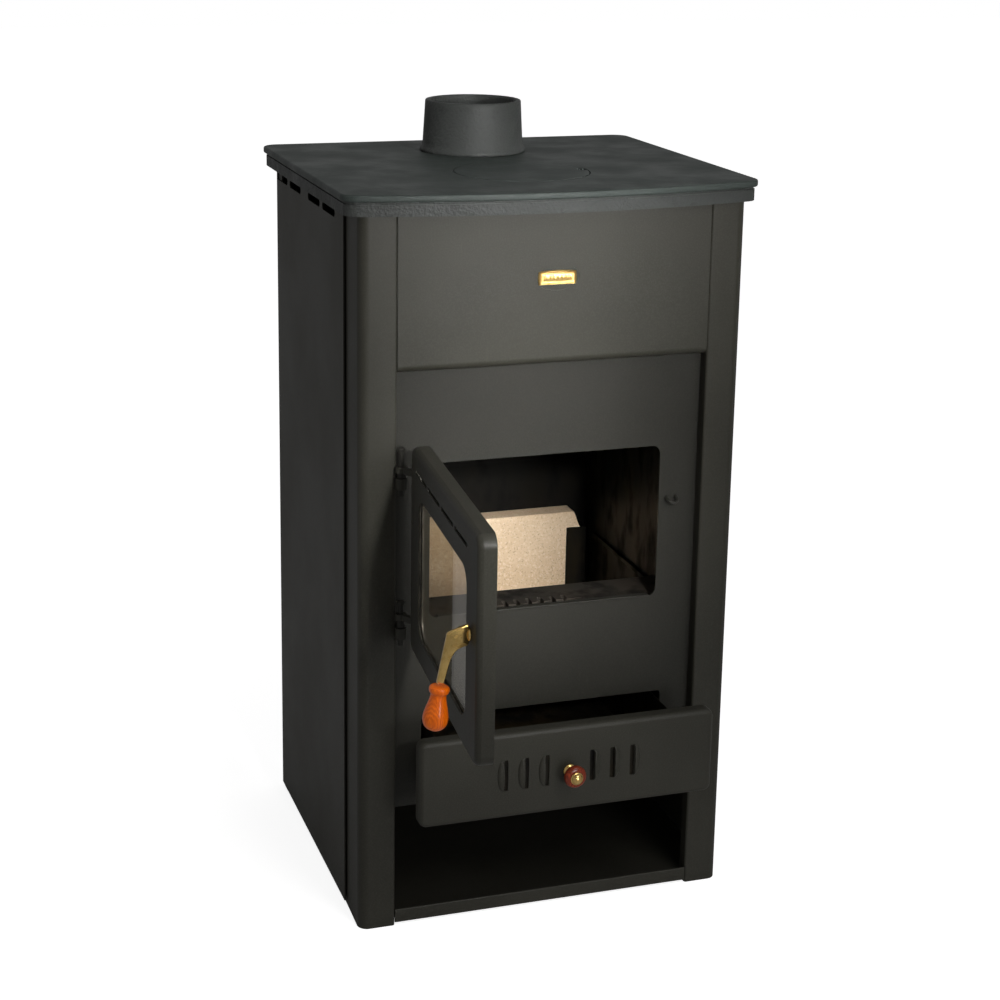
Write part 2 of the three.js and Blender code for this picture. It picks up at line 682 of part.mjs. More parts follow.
function buildDrawerBox() {
  const wall = 1.2;
  const half = DRAWER_BOX.halfWidth;
  const front = FRONT_PLATE_Y - 0.5 - DRAWER.depth + SHEET + GAP;
  const outer = block([-half, half], [front, DRAWER_BOX.back], [DRAWER_BOX.bottom, DRAWER_BOX.top]);
  const inner = block(
    [-half + wall, half - wall],
    [front + wall, DRAWER_BOX.back - wall],
    [DRAWER_BOX.bottom + wall, DRAWER_BOX.top + 1],
  );
  return piece("ash_drawer_box", cut(outer, [inner]), "bareSteel");
}

// The knob's three pieces, turned about a line that points straight out of the drawer.
function buildKnob() {
  const face = FRONT_PLATE_Y - 0.5 - DRAWER.depth;
  const outward = (profile, segments) => {
    const points = profile.map(([radius, out]) => new THREE.Vector2(radius, out));
    return new THREE.LatheGeometry(points, segments).rotateX(Math.PI).translate(0, face, KNOB_Z);
  };
  const base = [
    [0, GAP],
    [8, GAP],
    [8, 1.5],
    [6.2, 3],
    [4.6, 4.5],
    [4.2, 9],
    [6.4, 12],
    [0, 12],
  ];
  const ring = [
    [0, 12.3],
    [8.5, 12.3],
    [12, 14],
    [13.2, 17.6],
    [12, 21.2],
    [8.5, 23],
    [0, 23],
  ];
  const cap = [
    [0, 23.3],
    [7.6, 23.3],
    [7.4, 24.8],
    [5.6, 27.4],
    [3, 28.8],
    [0, 29.3],
  ];
  return [
    piece("knob_base", outward(base, 20), "brass"),
    piece("knob_ring", outward(ring, 24), "knobWood"),
    piece("knob_cap", outward(cap, 20), "brass"),
  ];
}

function buildDrawerGuide(label, side) {
  const low = FRONT_PLATE_BOTTOM + FIRE_SHEET + GAP;
  const top = DRAWER_BOX.bottom - GAP;
  const outline = polygon([
    [126, top],
    [149, top],
    [149, low],
    [147, low],
    [147, top - 2],
    [126, top - 2],
  ]);
  const bar = sweepY(onSide(outline, side), [25, 345]);
  return piece(`ash_guide_${label}`, bar, "bareSteel");
}

function buildAshDrawer() {
  const drawer = new THREE.Group();
  drawer.add(buildDrawerFront(), buildDrawerBox(), ...buildKnob());
  drawer.position.y = -DRAWER.pulled;
  return drawer;
}

// ---------------------------------------------------------------- fire door
// The door is built shut, in a group whose origin is on the hinge axis, and then swung open. Along the
// door, x runs from the hinge edge; the outer face is at y = DOOR_FACE.
function doorX(along) {
  return DOOR.offset + along;
}

function buildDoorPan() {
  const xs = [DOOR.offset, DOOR.offset + DOOR.width];
  const rim = DOOR_FACE + DOOR.depth;
  const pan = pressedPan(xs, [DOOR.bottom, DOOR.top], [DOOR_FACE, rim], DOOR.wall, 14, 6);
  const through = [DOOR_FACE - 1, DOOR_FACE + 4];
  const window = roundedRectangle(
    [doorX(WINDOW.left), doorX(WINDOW.right)],
    [WINDOW.bottom, WINDOW.top],
    WINDOW.round,
  );
  const cutters = [sweepY(window, through, 6)];
  for (let i = 0; i < AIR_SLOT.count; i++) {
    const from = doorX(AIR_SLOT.first + i * AIR_SLOT.pitch);
    const zs = [AIR_SLOT.z - AIR_SLOT.height / 2, AIR_SLOT.z + AIR_SLOT.height / 2];
    const slot = roundedRectangle([from, from + AIR_SLOT.length], zs, AIR_SLOT.height / 2);
    cutters.push(sweepY(slot, through, 3));
  }
  cutters.push(rodAlongY([doorX(SPINDLE.along), SPINDLE.z], through, SPINDLE.radius + 0.4));
  return piece("door_pan", cut(pan, cutters), "casing");
}

// A flat ring round the window, wider than it by outside and by inside on every edge.
function windowRing(outside, inside, ys) {
  const grown = (by, round) =>
    roundedRectangle(
      [doorX(WINDOW.left - by), doorX(WINDOW.right + by)],
      [WINDOW.bottom - by, WINDOW.top + by],
      round,
    );
  const hole = sweepY(grown(inside, WINDOW.round), [ys[0] - 1, ys[1] + 1], 4);
  return cut(sweepY(grown(outside, 4), ys, 4), [hole]);
}

function buildGlazing() {
  const face = DOOR_FACE + DOOR.wall + GAP;
  const seal = [face, face + 1];
  const glass = [seal[1] + GAP, seal[1] + GAP + 4];
  const frame = [glass[1] + GAP, glass[1] + GAP + 1.5];
  const clearance = rodAlongY([doorX(SPINDLE.along), SPINDLE.z], [glass[0], frame[1] + 1], 8);
  const edge = 12;
  const pane = sweepY(
    roundedRectangle(
      [doorX(WINDOW.left - edge), doorX(WINDOW.right + edge)],
      [WINDOW.bottom - edge, WINDOW.top + edge],
      3,
    ),
    glass,
    2,
  );
  return [
    piece("glass_seal", windowRing(10, 1, seal), "seal"),
    piece("door_glass", pane, "glass"),
    piece("glass_retainer", cut(windowRing(18.5, 2, frame), [clearance]), "bareSteel"),
  ];
}

// The screws that pull the glass retainer towards the door's face, just outside the glass.
function buildRetainerScrews() {
  const face = DOOR_FACE + DOOR.wall + GAP;
  const frameBack = face + 1 + GAP + 4 + GAP + 1.5;
  const spots = [
    [WINDOW.left - 15.2, WINDOW.bottom + 30],
    [WINDOW.left - 15.2, WINDOW.top - 30],
    [WINDOW.right + 15.2, WINDOW.bottom + 30],
    [WINDOW.right + 15.2, WINDOW.top - 30],
  ];
  return spots.map(([along, z], i) => {
    const screw = rodAlongY([doorX(along), z], [frameBack + GAP, frameBack + 2.8], 3.4, 12);
    return piece(`retainer_screw_${i + 1}`, screw, "bareSteel");
  });
}

// The eye that turns on the hinge pin, with the arm that joins it to the edge of the door pan.
function buildDoorLug({ label, doorLug }) {
  const edge = DOOR.offset - GAP;
  const eye = rod([0, 0], doorLug, EYE_RADIUS, 20);
  const arm = raise(
    polygon([
      [0, -3.5],
      [edge - 6, DOOR_FACE + 4],
      [edge, DOOR_FACE + 7],
      [edge, DOOR_FACE + 13],
      [edge - 6, DOOR_FACE + 11],
      [-1, 4],
    ]),
    doorLug,
  );
  const bore = rod([0, 0], [doorLug[0] - 1, doorLug[1] + 1], PIN.radius + GAP, 20);
  return piece(`door_hinge_lug_${label}`, cut(join([eye, arm]), [bore]), "casing");
}

// The brass lever: a flat plate square to the door, on a round hub, curving down to the grip.
function buildLever() {
  const z = SPINDLE.z;
  const y = (out) => DOOR_FACE - out;
  const shape = new THREE.Shape();
  shape.moveTo(y(0.6), z + 12);
  shape.lineTo(y(20.5), z + 4.8);
  shape.quadraticCurveTo(y(23.2), z + 3.6, y(24), z);
  shape.lineTo(y(33.8), z - 49.3);
  shape.lineTo(y(26), z - 49.3);
  shape.quadraticCurveTo(y(19), z - 20, y(12.5), z - 15);
  shape.quadraticCurveTo(y(8), z - 10, y(0.6), z - 10.5);
  const middle = doorX(SPINDLE.along);
  const blade = sweepX(shape, [middle - 2.5, middle + 2.5], 6);
  const hub = rodAlongY([middle, z], [y(3.5), y(0.5)], 6.5);
  return piece("handle_lever", join([blade, hub]), "brass");
}

// The wooden grip: a pear shape on the end of the lever.
function buildGrip() {
  const profile = [
    [0, -47],
    [5, -46.6],
    [9, -44.5],
    [12, -40],
    [13, -35],
    [12.8, -31],
    [11, -24],
    [9, -17],
    [8, -12],
    [8.2, -8.5],
    [9.9, -5.8],
    [10.4, -3],
    [9.9, -0.8],
    [6, 0],
    [0, 0],
  ];
  const grip = turned(profile, 24);
  grip.rotateX(THREE.MathUtils.degToRad(-GRIP_TILT));
  grip.translate(doorX(SPINDLE.along), DOOR_FACE - 30, SPINDLE.z - 50.8);
  return piece("handle_grip", grip, "gripWood");
}

function buildSpindle() {
  const ys = [DOOR_FACE - 0.2, DOOR_FACE + 14.2];
  const spindle = rodAlongY([doorX(SPINDLE.along), SPINDLE.z], ys, SPINDLE.radius);
  return piece("handle_spindle", spindle, "bareSteel");
}

// The tongue behind the door: its finger rises into the striker when the lever swings outwards.
function buildLatchTongue() {
  const swing = THREE.MathUtils.degToRad(-22);
  const thickness = [DOOR_FACE + 14.5, DOOR_FACE + 17.5];
  const tongue = polygon([
    [0, 4.5],
    [-6, 0],
    [-4, -6],
    [5, -9],
    [20.5, -9],
    [20.5, 5.5],
    [15, 5.5],
    [15, -3],
    [6, -3],
  ]);
  const body = join([sweepY(tongue, thickness), rodAlongY([0, 0], thickness, 6.5)]);
  body.rotateY(-swing);
  body.translate(doorX(SPINDLE.along), 0, SPINDLE.z);
  return piece("latch_tongue", body, "bareSteel");
}

function buildDoor() {
  const door = new THREE.Group();
  door.add(buildDoorPan(), ...buildGlazing(), ...buildRetainerScrews());
  for (const hinge of HINGES) {
    door.add(buildDoorLug(hinge));
  }
  door.add(buildLever(), buildGrip(), buildSpindle(), buildLatchTongue());
  door.position.set(PIN.x, PIN.y, 0);
  door.rotation.z = THREE.MathUtils.degToRad(-DOOR_OPEN);
  return door;
}

// ---------------------------------------------------------------- the whole stove
const stove = new THREE.Group();
stove.add(buildCasing(), buildTopPlate(), buildLid(), buildFlueCollar(), buildFirebox());
stove.add(buildDrawerGuide("left", -1), buildDrawerGuide("right", 1), buildAshDrawer(), buildDoor());

// The origin is on the floor, under the middle of the box round everything.
const extent = new THREE.Box3().setFromObject(stove, true);
const middle = extent.getCenter(new THREE.Vector3());
stove.position.set(-middle.x, -middle.y, -extent.min.z);

const part = new THREE.Group();
part.add(stove);

export default part;
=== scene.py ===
"""Dresses a wood burning stove: smooth skins, turned and sculpted details and procedural finishes."""

import json
import logging
import math
from dataclasses import dataclass, field
from enum import Enum

import bmesh
import bpy
from mathutils import Matrix, Vector

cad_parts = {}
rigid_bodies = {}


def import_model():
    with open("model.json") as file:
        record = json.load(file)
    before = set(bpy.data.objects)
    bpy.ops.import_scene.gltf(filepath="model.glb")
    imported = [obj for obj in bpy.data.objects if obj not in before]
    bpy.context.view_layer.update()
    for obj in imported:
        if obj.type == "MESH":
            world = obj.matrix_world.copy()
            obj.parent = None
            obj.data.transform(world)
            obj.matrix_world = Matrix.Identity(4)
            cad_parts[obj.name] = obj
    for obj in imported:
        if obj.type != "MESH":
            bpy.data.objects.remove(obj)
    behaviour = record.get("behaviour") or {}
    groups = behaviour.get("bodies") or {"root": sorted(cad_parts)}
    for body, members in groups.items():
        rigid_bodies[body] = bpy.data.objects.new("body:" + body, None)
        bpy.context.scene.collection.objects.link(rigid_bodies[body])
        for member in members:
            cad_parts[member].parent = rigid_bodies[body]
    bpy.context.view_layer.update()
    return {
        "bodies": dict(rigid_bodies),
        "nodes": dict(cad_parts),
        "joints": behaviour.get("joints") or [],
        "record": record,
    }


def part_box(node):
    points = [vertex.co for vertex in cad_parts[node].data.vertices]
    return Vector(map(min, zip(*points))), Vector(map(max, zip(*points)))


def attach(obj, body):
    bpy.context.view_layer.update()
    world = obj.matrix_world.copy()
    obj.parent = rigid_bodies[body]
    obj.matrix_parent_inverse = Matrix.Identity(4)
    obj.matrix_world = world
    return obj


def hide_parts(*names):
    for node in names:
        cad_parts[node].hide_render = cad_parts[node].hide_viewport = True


LOG = logging.getLogger("stove")
MM = 0.001
WELD = 2e-6  # vertices closer than this are one
FLAT_DEG = 0.6  # faces that meet at less than this become one
CRISP_DEG = 34.0  # edges sharper than this stay crisp on a skin
SOFTEN_DEG = 40.0  # edges sharper than this are softened


# ------------------------------------------------------------------ shader building blocks
class Effect(Enum):
    """The shared shader effects, each one a node group."""

    GRAIN = "Surface grain"
    MOTTLE = "Mottling"
    SCUFFS = "Hairline scuffs"
    DUST = "Settled dust"
    HEAT = "Heat staining"
    WOOD = "Wood figure"


@dataclass
class Group:
    """A shader node group under construction."""

    effect: Effect
    tree: bpy.types.NodeTree = field(init=False)

    def __post_init__(self) -> None:
        """Makes the empty tree with its input and output nodes."""
        self.tree = bpy.data.node_groups.new(self.effect.value, "ShaderNodeTree")
        self.entry = self.tree.nodes.new("NodeGroupInput")
        self.exit = self.tree.nodes.new("NodeGroupOutput")

    def takes(self, name: str, value: float | None = None) -> None:
        """Adds an input socket: a number, or a vector when no value is given.

        Args:
            name: the socket's name.
            value: its default.
        """
        kind = "NodeSocketVector" if value is None else "NodeSocketFloat"
        socket = self.tree.interface.new_socket(name=name, in_out="INPUT", socket_type=kind)
        if value is not None:
            socket.default_value = value

    def gives(self, name: str) -> None:
        """Adds a number output called name."""
        self.tree.interface.new_socket(name=name, in_out="OUTPUT", socket_type="NodeSocketFloat")

    def source(self, name: str) -> bpy.types.NodeSocket:
        """Returns the inner end of the input called name."""
        return self.entry.outputs[name]

    def node(self, kind: str, **facts: object) -> bpy.types.Node:
        """Adds a node and sets its properties.

        Args:
            kind: the node's type.
            facts: property names and values.

        Returns:
            The new node.
        """
        node = self.tree.nodes.new(kind)
        for name, value in facts.items():
            setattr(node, name, value)
        return node

    def link(self, source: bpy.types.NodeSocket, target: bpy.types.NodeSocket) -> None:
        """Joins two sockets."""
        self.tree.links.new(source, target)

    def maths(self, operation: str, *values: object) -> bpy.types.NodeSocket:
        """Adds a Math node.

        Args:
            operation: the node's operation.
            values: numbers or sockets, in order.

        Returns:
            The result's socket.
        """
        node = self.node("ShaderNodeMath", operation=operation)
        for socket, value in zip(node.inputs, values):
            if isinstance(value, (int, float)):
                socket.default_value = value
            else:
                self.link(value, socket)
        return node.outputs[0]

    def noise(self, vector: bpy.types.NodeSocket, scale: object, detail: float) -> bpy.types.NodeSocket:
        """Adds a noise texture.

        Args:
            vector: where the pattern is read.
            scale: a number or a socket.
            detail: octaves.

        Returns:
            The noise value's socket.
        """
        node = self.node("ShaderNodeTexNoise")
        self.link(vector, node.inputs["Vector"])
        if isinstance(scale, (int, float)):
            node.inputs["Scale"].default_value = scale
        else:
            self.link(scale, node.inputs["Scale"])
        node.inputs["Detail"].default_value = detail
        return node.outputs[0]

    def spread(self, value: bpy.types.NodeSocket, low: object, high: object) -> bpy.types.NodeSocket:
        """Stretches low..high to 0..1 with soft ends.

        Args:
            value: what is stretched.
            low: what becomes 0.
            high: what becomes 1.

        Returns:
            The result's socket.
        """
        node = self.node("ShaderNodeMapRange", interpolation_type="SMOOTHSTEP")
        self.link(value, node.inputs["Value"])
        for name, end in (("From Min", low), ("From Max", high)):
            if isinstance(end, (int, float)):
                node.inputs[name].default_value = end
            else:
                self.link(end, node.inputs[name])
        return node.outputs["Result"]

    def stretched(
        self, vector: bpy.types.NodeSocket, scale: tuple[float, float, float]
    ) -> bpy.types.NodeSocket:
        """Returns vector scaled along each axis."""
        node = self.node("ShaderNodeMapping")
        self.link(vector, node.inputs["Vector"])
        node.inputs["Scale"].default_value = scale
        return node.outputs[0]


class EffectLibrary:
    """Builds each shared effect once."""

    def __init__(self) -> None:
        """Builds every group."""
        self.trees: dict[Effect, bpy.types.NodeTree] = {
            Effect.GRAIN: self._grain(),
            Effect.MOTTLE: self._mottle(),
            Effect.SCUFFS: self._scuffs(),
            Effect.DUST: self._dust(),
            Effect.HEAT: self._heat(),
            Effect.WOOD: self._wood(),
        }

    def _grain(self) -> bpy.types.NodeTree:
        """Fine bumps with coarser lumps under them, as in paint or a sand casting.

        Returns:
            The group's tree, with a Height output.
        """
        group = Group(Effect.GRAIN)
        group.takes("Vector")
        group.takes("Size", 1500.0)
        group.takes("Lumps", 0.3)
        group.gives("Height")
        where = group.source("Vector")
        fine = group.noise(where, group.source("Size"), 3.0)
        coarse_scale = group.maths("MULTIPLY", group.source("Size"), 0.23)
        coarse = group.noise(where, coarse_scale, 2.0)
        lumps = group.maths("MULTIPLY", coarse, group.source("Lumps"))
        group.link(group.maths("ADD", fine, lumps), group.exit.inputs["Height"])
        return group.tree

    def _mottle(self) -> bpy.types.NodeTree:
        """Broad uneven patches.

        Returns:
            The group's tree, with a Mask output.
        """
        group = Group(Effect.MOTTLE)
        group.takes("Vector")
        group.takes("Scale", 7.0)
        group.takes("Low", 0.35)
        group.takes("High", 0.65)
        group.gives("Mask")
        patches = group.noise(group.source("Vector"), group.source("Scale"), 5.0)
        mask = group.spread(patches, group.source("Low"), group.source("High"))
        group.link(mask, group.exit.inputs["Mask"])
        return group.tree

    def _scuffs(self) -> bpy.types.NodeTree:
        """Thin hairlines that run two ways and fade in and out.

        Returns:
            The group's tree, with a Mask output.
        """
        group = Group(Effect.SCUFFS)
        group.takes("Vector")
        group.takes("Scale", 60.0)
        group.gives("Mask")
        where = group.source("Vector")
        long_way = group.noise(group.stretched(where, (14.0, 14.0, 0.8)), group.source("Scale"), 1.0)
        short_way = group.noise(group.stretched(where, (0.9, 5.0, 16.0)), group.source("Scale"), 1.0)
        lines = group.maths(
            "MAXIMUM",
            group.spread(long_way, 0.66, 0.72),
            group.spread(short_way, 0.68, 0.74),
        )
        patches = group.spread(group.noise(where, 9.0, 2.0), 0.5, 0.68)
        group.link(group.maths("MULTIPLY", lines, patches), group.exit.inputs["Mask"])
        return group.tree

    def _dust(self) -> bpy.types.NodeTree:
        """Dust on whatever faces up.

        Returns:
            The group's tree, with a Mask output.
        """
        group = Group(Effect.DUST)
        group.takes("Vector")
        group.takes("Amount", 0.4)
        group.gives("Mask")
        facing = group.node("ShaderNodeNewGeometry")
        axes = group.node("ShaderNodeSeparateXYZ")
        group.link(facing.outputs["Normal"], axes.inputs[0])
        upward = group.spread(axes.outputs["Z"], 0.55, 1.0)
        specks = group.spread(group.noise(group.source("Vector"), 420.0, 4.0), 0.42, 0.75)
        film = group.spread(group.noise(group.source("Vector"), 6.0, 3.0), 0.35, 0.75)
        both = group.maths("MULTIPLY", group.maths("ADD", specks, film), upward)
        group.link(group.maths("MULTIPLY", both, group.source("Amount")), group.exit.inputs["Mask"])
        return group.tree

    def _heat(self) -> bpy.types.NodeTree:
        """Cloudy brown stains, drawn upwards as smoke leaves them.

        Returns:
            The group's tree, with Stain and Soot outputs.
        """
        group = Group(Effect.HEAT)
        group.takes("Vector")
        group.gives("Stain")
        group.gives("Soot")
        where = group.stretched(group.source("Vector"), (1.0, 1.0, 0.45))
        stain = group.spread(group.noise(where, 14.0, 6.0), 0.38, 0.66)
        soot = group.spread(group.noise(where, 32.0, 5.0), 0.45, 0.7)
        group.link(stain, group.exit.inputs["Stain"])
        group.link(soot, group.exit.inputs["Soot"])
        return group.tree

    def _wood(self) -> bpy.types.NodeTree:
        """Grain lines along Z with fine pores.

        Returns:
            The group's tree, with Figure and Pores outputs.
        """
        group = Group(Effect.WOOD)
        group.takes("Vector")
        group.takes("Scale", 160.0)
        group.gives("Figure")
        group.gives("Pores")
        along = group.stretched(group.source("Vector"), (1.0, 1.0, 0.13))
        wave = group.node("ShaderNodeTexWave", wave_type="BANDS", bands_direction="DIAGONAL")
        group.link(along, wave.inputs["Vector"])
        group.link(group.source("Scale"), wave.inputs["Scale"])
        wave.inputs["Distortion"].default_value = 5.0
        wave.inputs["Detail"].default_value = 3.0
        wave.inputs["Detail Scale"].default_value = 1.6
        pores = group.noise(group.stretched(group.source("Vector"), (9.0, 9.0, 0.7)), 260.0, 2.0)
        group.link(wave.outputs["Fac"], group.exit.inputs["Figure"])
        group.link(group.spread(pores, 0.58, 0.68), group.exit.inputs["Pores"])
        return group.tree


Colour = tuple[float, float, float]


class Recipe:
    """A material under construction, with its Principled shader and Object coordinates."""

    def __init__(self, name: str, effects: EffectLibrary) -> None:
        """Makes the material.

        Args:
            name: the material's name.
            effects: the shared effects.
        """
        self.effects = effects
        self.material = bpy.data.materials.new(name)
        self.material.use_nodes = True
        self.tree = self.material.node_tree
        self.shader = self.tree.nodes["Principled BSDF"]
        self.where = self.tree.nodes.new("ShaderNodeTexCoord").outputs["Object"]

    def effect(self, kind: Effect, **values: float) -> bpy.types.Node:
        """Places a shared effect.

        Args:
            kind: which effect.
            values: its inputs, with _ for a space.

        Returns:
            The group node.
        """
        node = self.tree.nodes.new("ShaderNodeGroup")
        node.node_tree = self.effects.trees[kind]
        self.tree.links.new(self.where, node.inputs["Vector"])
        for name, value in values.items():
            node.inputs[name.replace("_", " ")].default_value = value
        return node

    def blend(self, mask: bpy.types.NodeSocket, low: object, high: object) -> bpy.types.NodeSocket:
        """Mixes two colours or sockets by a mask.

        Args:
            mask: 0 gives low, 1 gives high.
            low: a colour or a socket.
            high: a colour or a socket.

        Returns:
            The mixed colour's socket.
        """
        mix = self.tree.nodes.new("ShaderNodeMix")
        mix.data_type = "RGBA"
        self.tree.links.new(mask, mix.inputs[0])
        for socket, value in ((mix.inputs[6], low), (mix.inputs[7], high)):
            if isinstance(value, tuple):
                socket.default_value = (*value, 1.0)
            else:
                self.tree.links.new(value, socket)
        return mix.outputs[2]

    def between(self, mask: bpy.types.NodeSocket, low: float, high: float) -> bpy.types.NodeSocket:
        """Returns a number that goes from low to high with the mask."""
        node = self.tree.nodes.new("ShaderNodeMapRange")
        self.tree.links.new(mask, node.inputs["Value"])
        node.inputs["To Min"].default_value = low
        node.inputs["To Max"].default_value = high
        return node.outputs["Result"]

    def colour(self, socket: bpy.types.NodeSocket) -> None:
        """Sends a colour to the shader."""
        self.tree.links.new(socket, self.shader.inputs["Base Color"])

    def roughness(self, socket: bpy.types.NodeSocket) -> None:
        """Sends a roughness to the shader."""
        self.tree.links.new(socket, self.shader.inputs["Roughness"])

    def bump(
        self, height: bpy.types.NodeSocket, depth_mm: float, after: bpy.types.NodeSocket | None = None
    ) -> bpy.types.NodeSocket:
        """Raises the surface by a height.

        Args:
            height: 0 to 1.
            depth_mm: how deep the pattern is.
            after: the normal of an earlier bump.

        Returns:
            The new normal's socket, which the shader uses.
        """
        node = self.tree.nodes.new("ShaderNodeBump")
        node.inputs["Strength"].default_value = 1.0
        node.inputs["Distance"].default_value = depth_mm * MM
        self.tree.links.new(height, node.inputs["Height"])
        if after is not None:
            self.tree.links.new(after, node.inputs["Normal"])
        self.tree.links.new(node.outputs["Normal"], self.shader.inputs["Normal"])
        return node.outputs["Normal"]

    def set(self, **values: float) -> None:
        """Sets the shader's own sockets, with _ for a space in a name."""
        for name, value in values.items():
            self.shader.inputs[name.replace("_", " ")].default_value = value


# ------------------------------------------------------------------ finishes
@dataclass(frozen=True)
class HeatPaint:
    """Satin heat-resistant paint on sheet steel."""

    name: str
    dark: Colour = (0.0225, 0.0215, 0.0165)
    light: Colour = (0.0285, 0.0272, 0.0212)
    gloss_low: float = 0.44
    gloss_high: float = 0.52
    dust: float = 0.06

    def make(self, effects: EffectLibrary) -> bpy.types.Material:
        """Builds the material.

        Args:
            effects: the shared effects.

        Returns:
            The material.
        """
        recipe = Recipe(self.name, effects)
        mottle = recipe.effect(Effect.MOTTLE, Scale=5.5).outputs["Mask"]
        scuffs = recipe.effect(Effect.SCUFFS, Scale=48.0).outputs["Mask"]
        dust = recipe.effect(Effect.DUST, Amount=self.dust).outputs["Mask"]
        flecks = recipe.effect(Effect.MOTTLE, Scale=620.0, Low=0.4, High=0.7).outputs["Mask"]
        even = recipe.blend(mottle, self.dark, self.light)
        base = recipe.blend(recipe.between(flecks, 0.0, 0.35), even, tuple(1.6 * c for c in self.light))
        faint = recipe.between(scuffs, 0.0, 0.12)
        worn = recipe.blend(faint, base, tuple(2.2 * c for c in self.light))
        recipe.colour(recipe.blend(dust, worn, (0.09, 0.083, 0.07)))
        recipe.roughness(recipe.between(mottle, self.gloss_low, self.gloss_high))
        grain = recipe.effect(Effect.GRAIN, Size=1150.0, Lumps=0.9).outputs["Height"]
        recipe.bump(grain, 0.13)
        recipe.set(Specular_IOR_Level=0.3, IOR=1.38, Metallic=0.0)
        return recipe.material


@dataclass(frozen=True)
class CastIron:
    """Sand-cast iron under matt paint."""

    name: str
    size: float
    depth_mm: float
    dark: Colour = (0.0165, 0.0205, 0.0185)
    light: Colour = (0.0225, 0.0275, 0.025)
    roughness: float = 0.5

    def make(self, effects: EffectLibrary) -> bpy.types.Material:
        """Builds the material.

        Args:
            effects: the shared effects.

        Returns:
            The material.
        """
        recipe = Recipe(self.name, effects)
        mottle = recipe.effect(Effect.MOTTLE, Scale=16.0, Low=0.3, High=0.7).outputs["Mask"]
        grain = recipe.effect(Effect.GRAIN, Size=self.size, Lumps=1.1).outputs["Height"]
        dust = recipe.effect(Effect.DUST, Amount=0.06).outputs["Mask"]
        base = recipe.blend(mottle, self.dark, self.light)
        pitted = recipe.blend(recipe.between(grain, -0.4, 1.1), base, tuple(1.5 * c for c in self.light))
        recipe.colour(recipe.blend(dust, pitted, (0.075, 0.078, 0.068)))
        recipe.roughness(recipe.between(mottle, self.roughness - 0.09, self.roughness + 0.1))
        recipe.bump(grain, self.depth_mm)
        recipe.set(Specular_IOR_Level=0.3, IOR=1.38, Metallic=0.0)
        return recipe.material


@dataclass(frozen=True)
class FireboxSteel:
    """Bare plate that heat and smoke have stained."""

    name: str
    clean: Colour = (0.0075, 0.007, 0.005)
    brown: Colour = (0.019, 0.0135, 0.0065)
    soot: Colour = (0.0034, 0.0032, 0.0028)

    def make(self, effects: EffectLibrary) -> bpy.types.Material:
        """Builds the material.

        Args:
            effects: the shared effects.

        Returns:
            The material.
        """
        recipe = Recipe(self.name, effects)
        heat = recipe.effect(Effect.HEAT)
        stained = recipe.blend(heat.outputs["Stain"], self.clean, self.brown)
        recipe.colour(recipe.blend(heat.outputs["Soot"], stained, self.soot))
        recipe.roughness(recipe.between(heat.outputs["Soot"], 0.46, 0.78))
        grain = recipe.effect(Effect.GRAIN, Size=700.0, Lumps=0.8).outputs["Height"]
        recipe.bump(grain, 0.08)
        recipe.set(Specular_IOR_Level=0.12, IOR=1.4, Metallic=0.0)
        return recipe.material


@dataclass(frozen=True)
class ZincSteel:
    """Dull plated steel for pins, screws and small irons."""

    name: str

    def make(self, effects: EffectLibrary) -> bpy.types.Material:
        """Builds the material.

        Args:
            effects: the shared effects.

        Returns:
            The material.
        """
        recipe = Recipe(self.name, effects)
        mottle = recipe.effect(Effect.MOTTLE, Scale=90.0).outputs["Mask"]
        scuffs = recipe.effect(Effect.SCUFFS, Scale=240.0).outputs["Mask"]
        base = recipe.blend(mottle, (0.07, 0.066, 0.06), (0.14, 0.132, 0.12))
        recipe.colour(recipe.blend(scuffs, base, (0.3, 0.29, 0.27)))
        recipe.roughness(recipe.between(mottle, 0.34, 0.52))
        recipe.bump(recipe.effect(Effect.GRAIN, Size=2400.0, Lumps=0.3).outputs["Height"], 0.03)
        recipe.set(Metallic=0.85)
        return recipe.material


@dataclass(frozen=True)
class Brass:
    """Polished brass with a light tarnish."""

    name: str
    polished: float = 0.16
    dulled: float = 0.36

    def make(self, effects: EffectLibrary) -> bpy.types.Material:
        """Builds the material.

        Args:
            effects: the shared effects.

        Returns:
            The material.
        """
        recipe = Recipe(self.name, effects)
        mottle = recipe.effect(Effect.MOTTLE, Scale=130.0, Low=0.4, High=0.75).outputs["Mask"]
        scuffs = recipe.effect(Effect.SCUFFS, Scale=420.0).outputs["Mask"]
        base = recipe.blend(mottle, (0.78, 0.53, 0.19), (0.5, 0.31, 0.09))
        recipe.colour(recipe.blend(scuffs, base, (0.9, 0.68, 0.32)))
        recipe.roughness(recipe.between(mottle, self.polished, self.dulled))
        recipe.bump(recipe.effect(Effect.GRAIN, Size=900.0, Lumps=1.4).outputs["Height"], 0.025)
        recipe.set(Metallic=1.0)
        return recipe.material


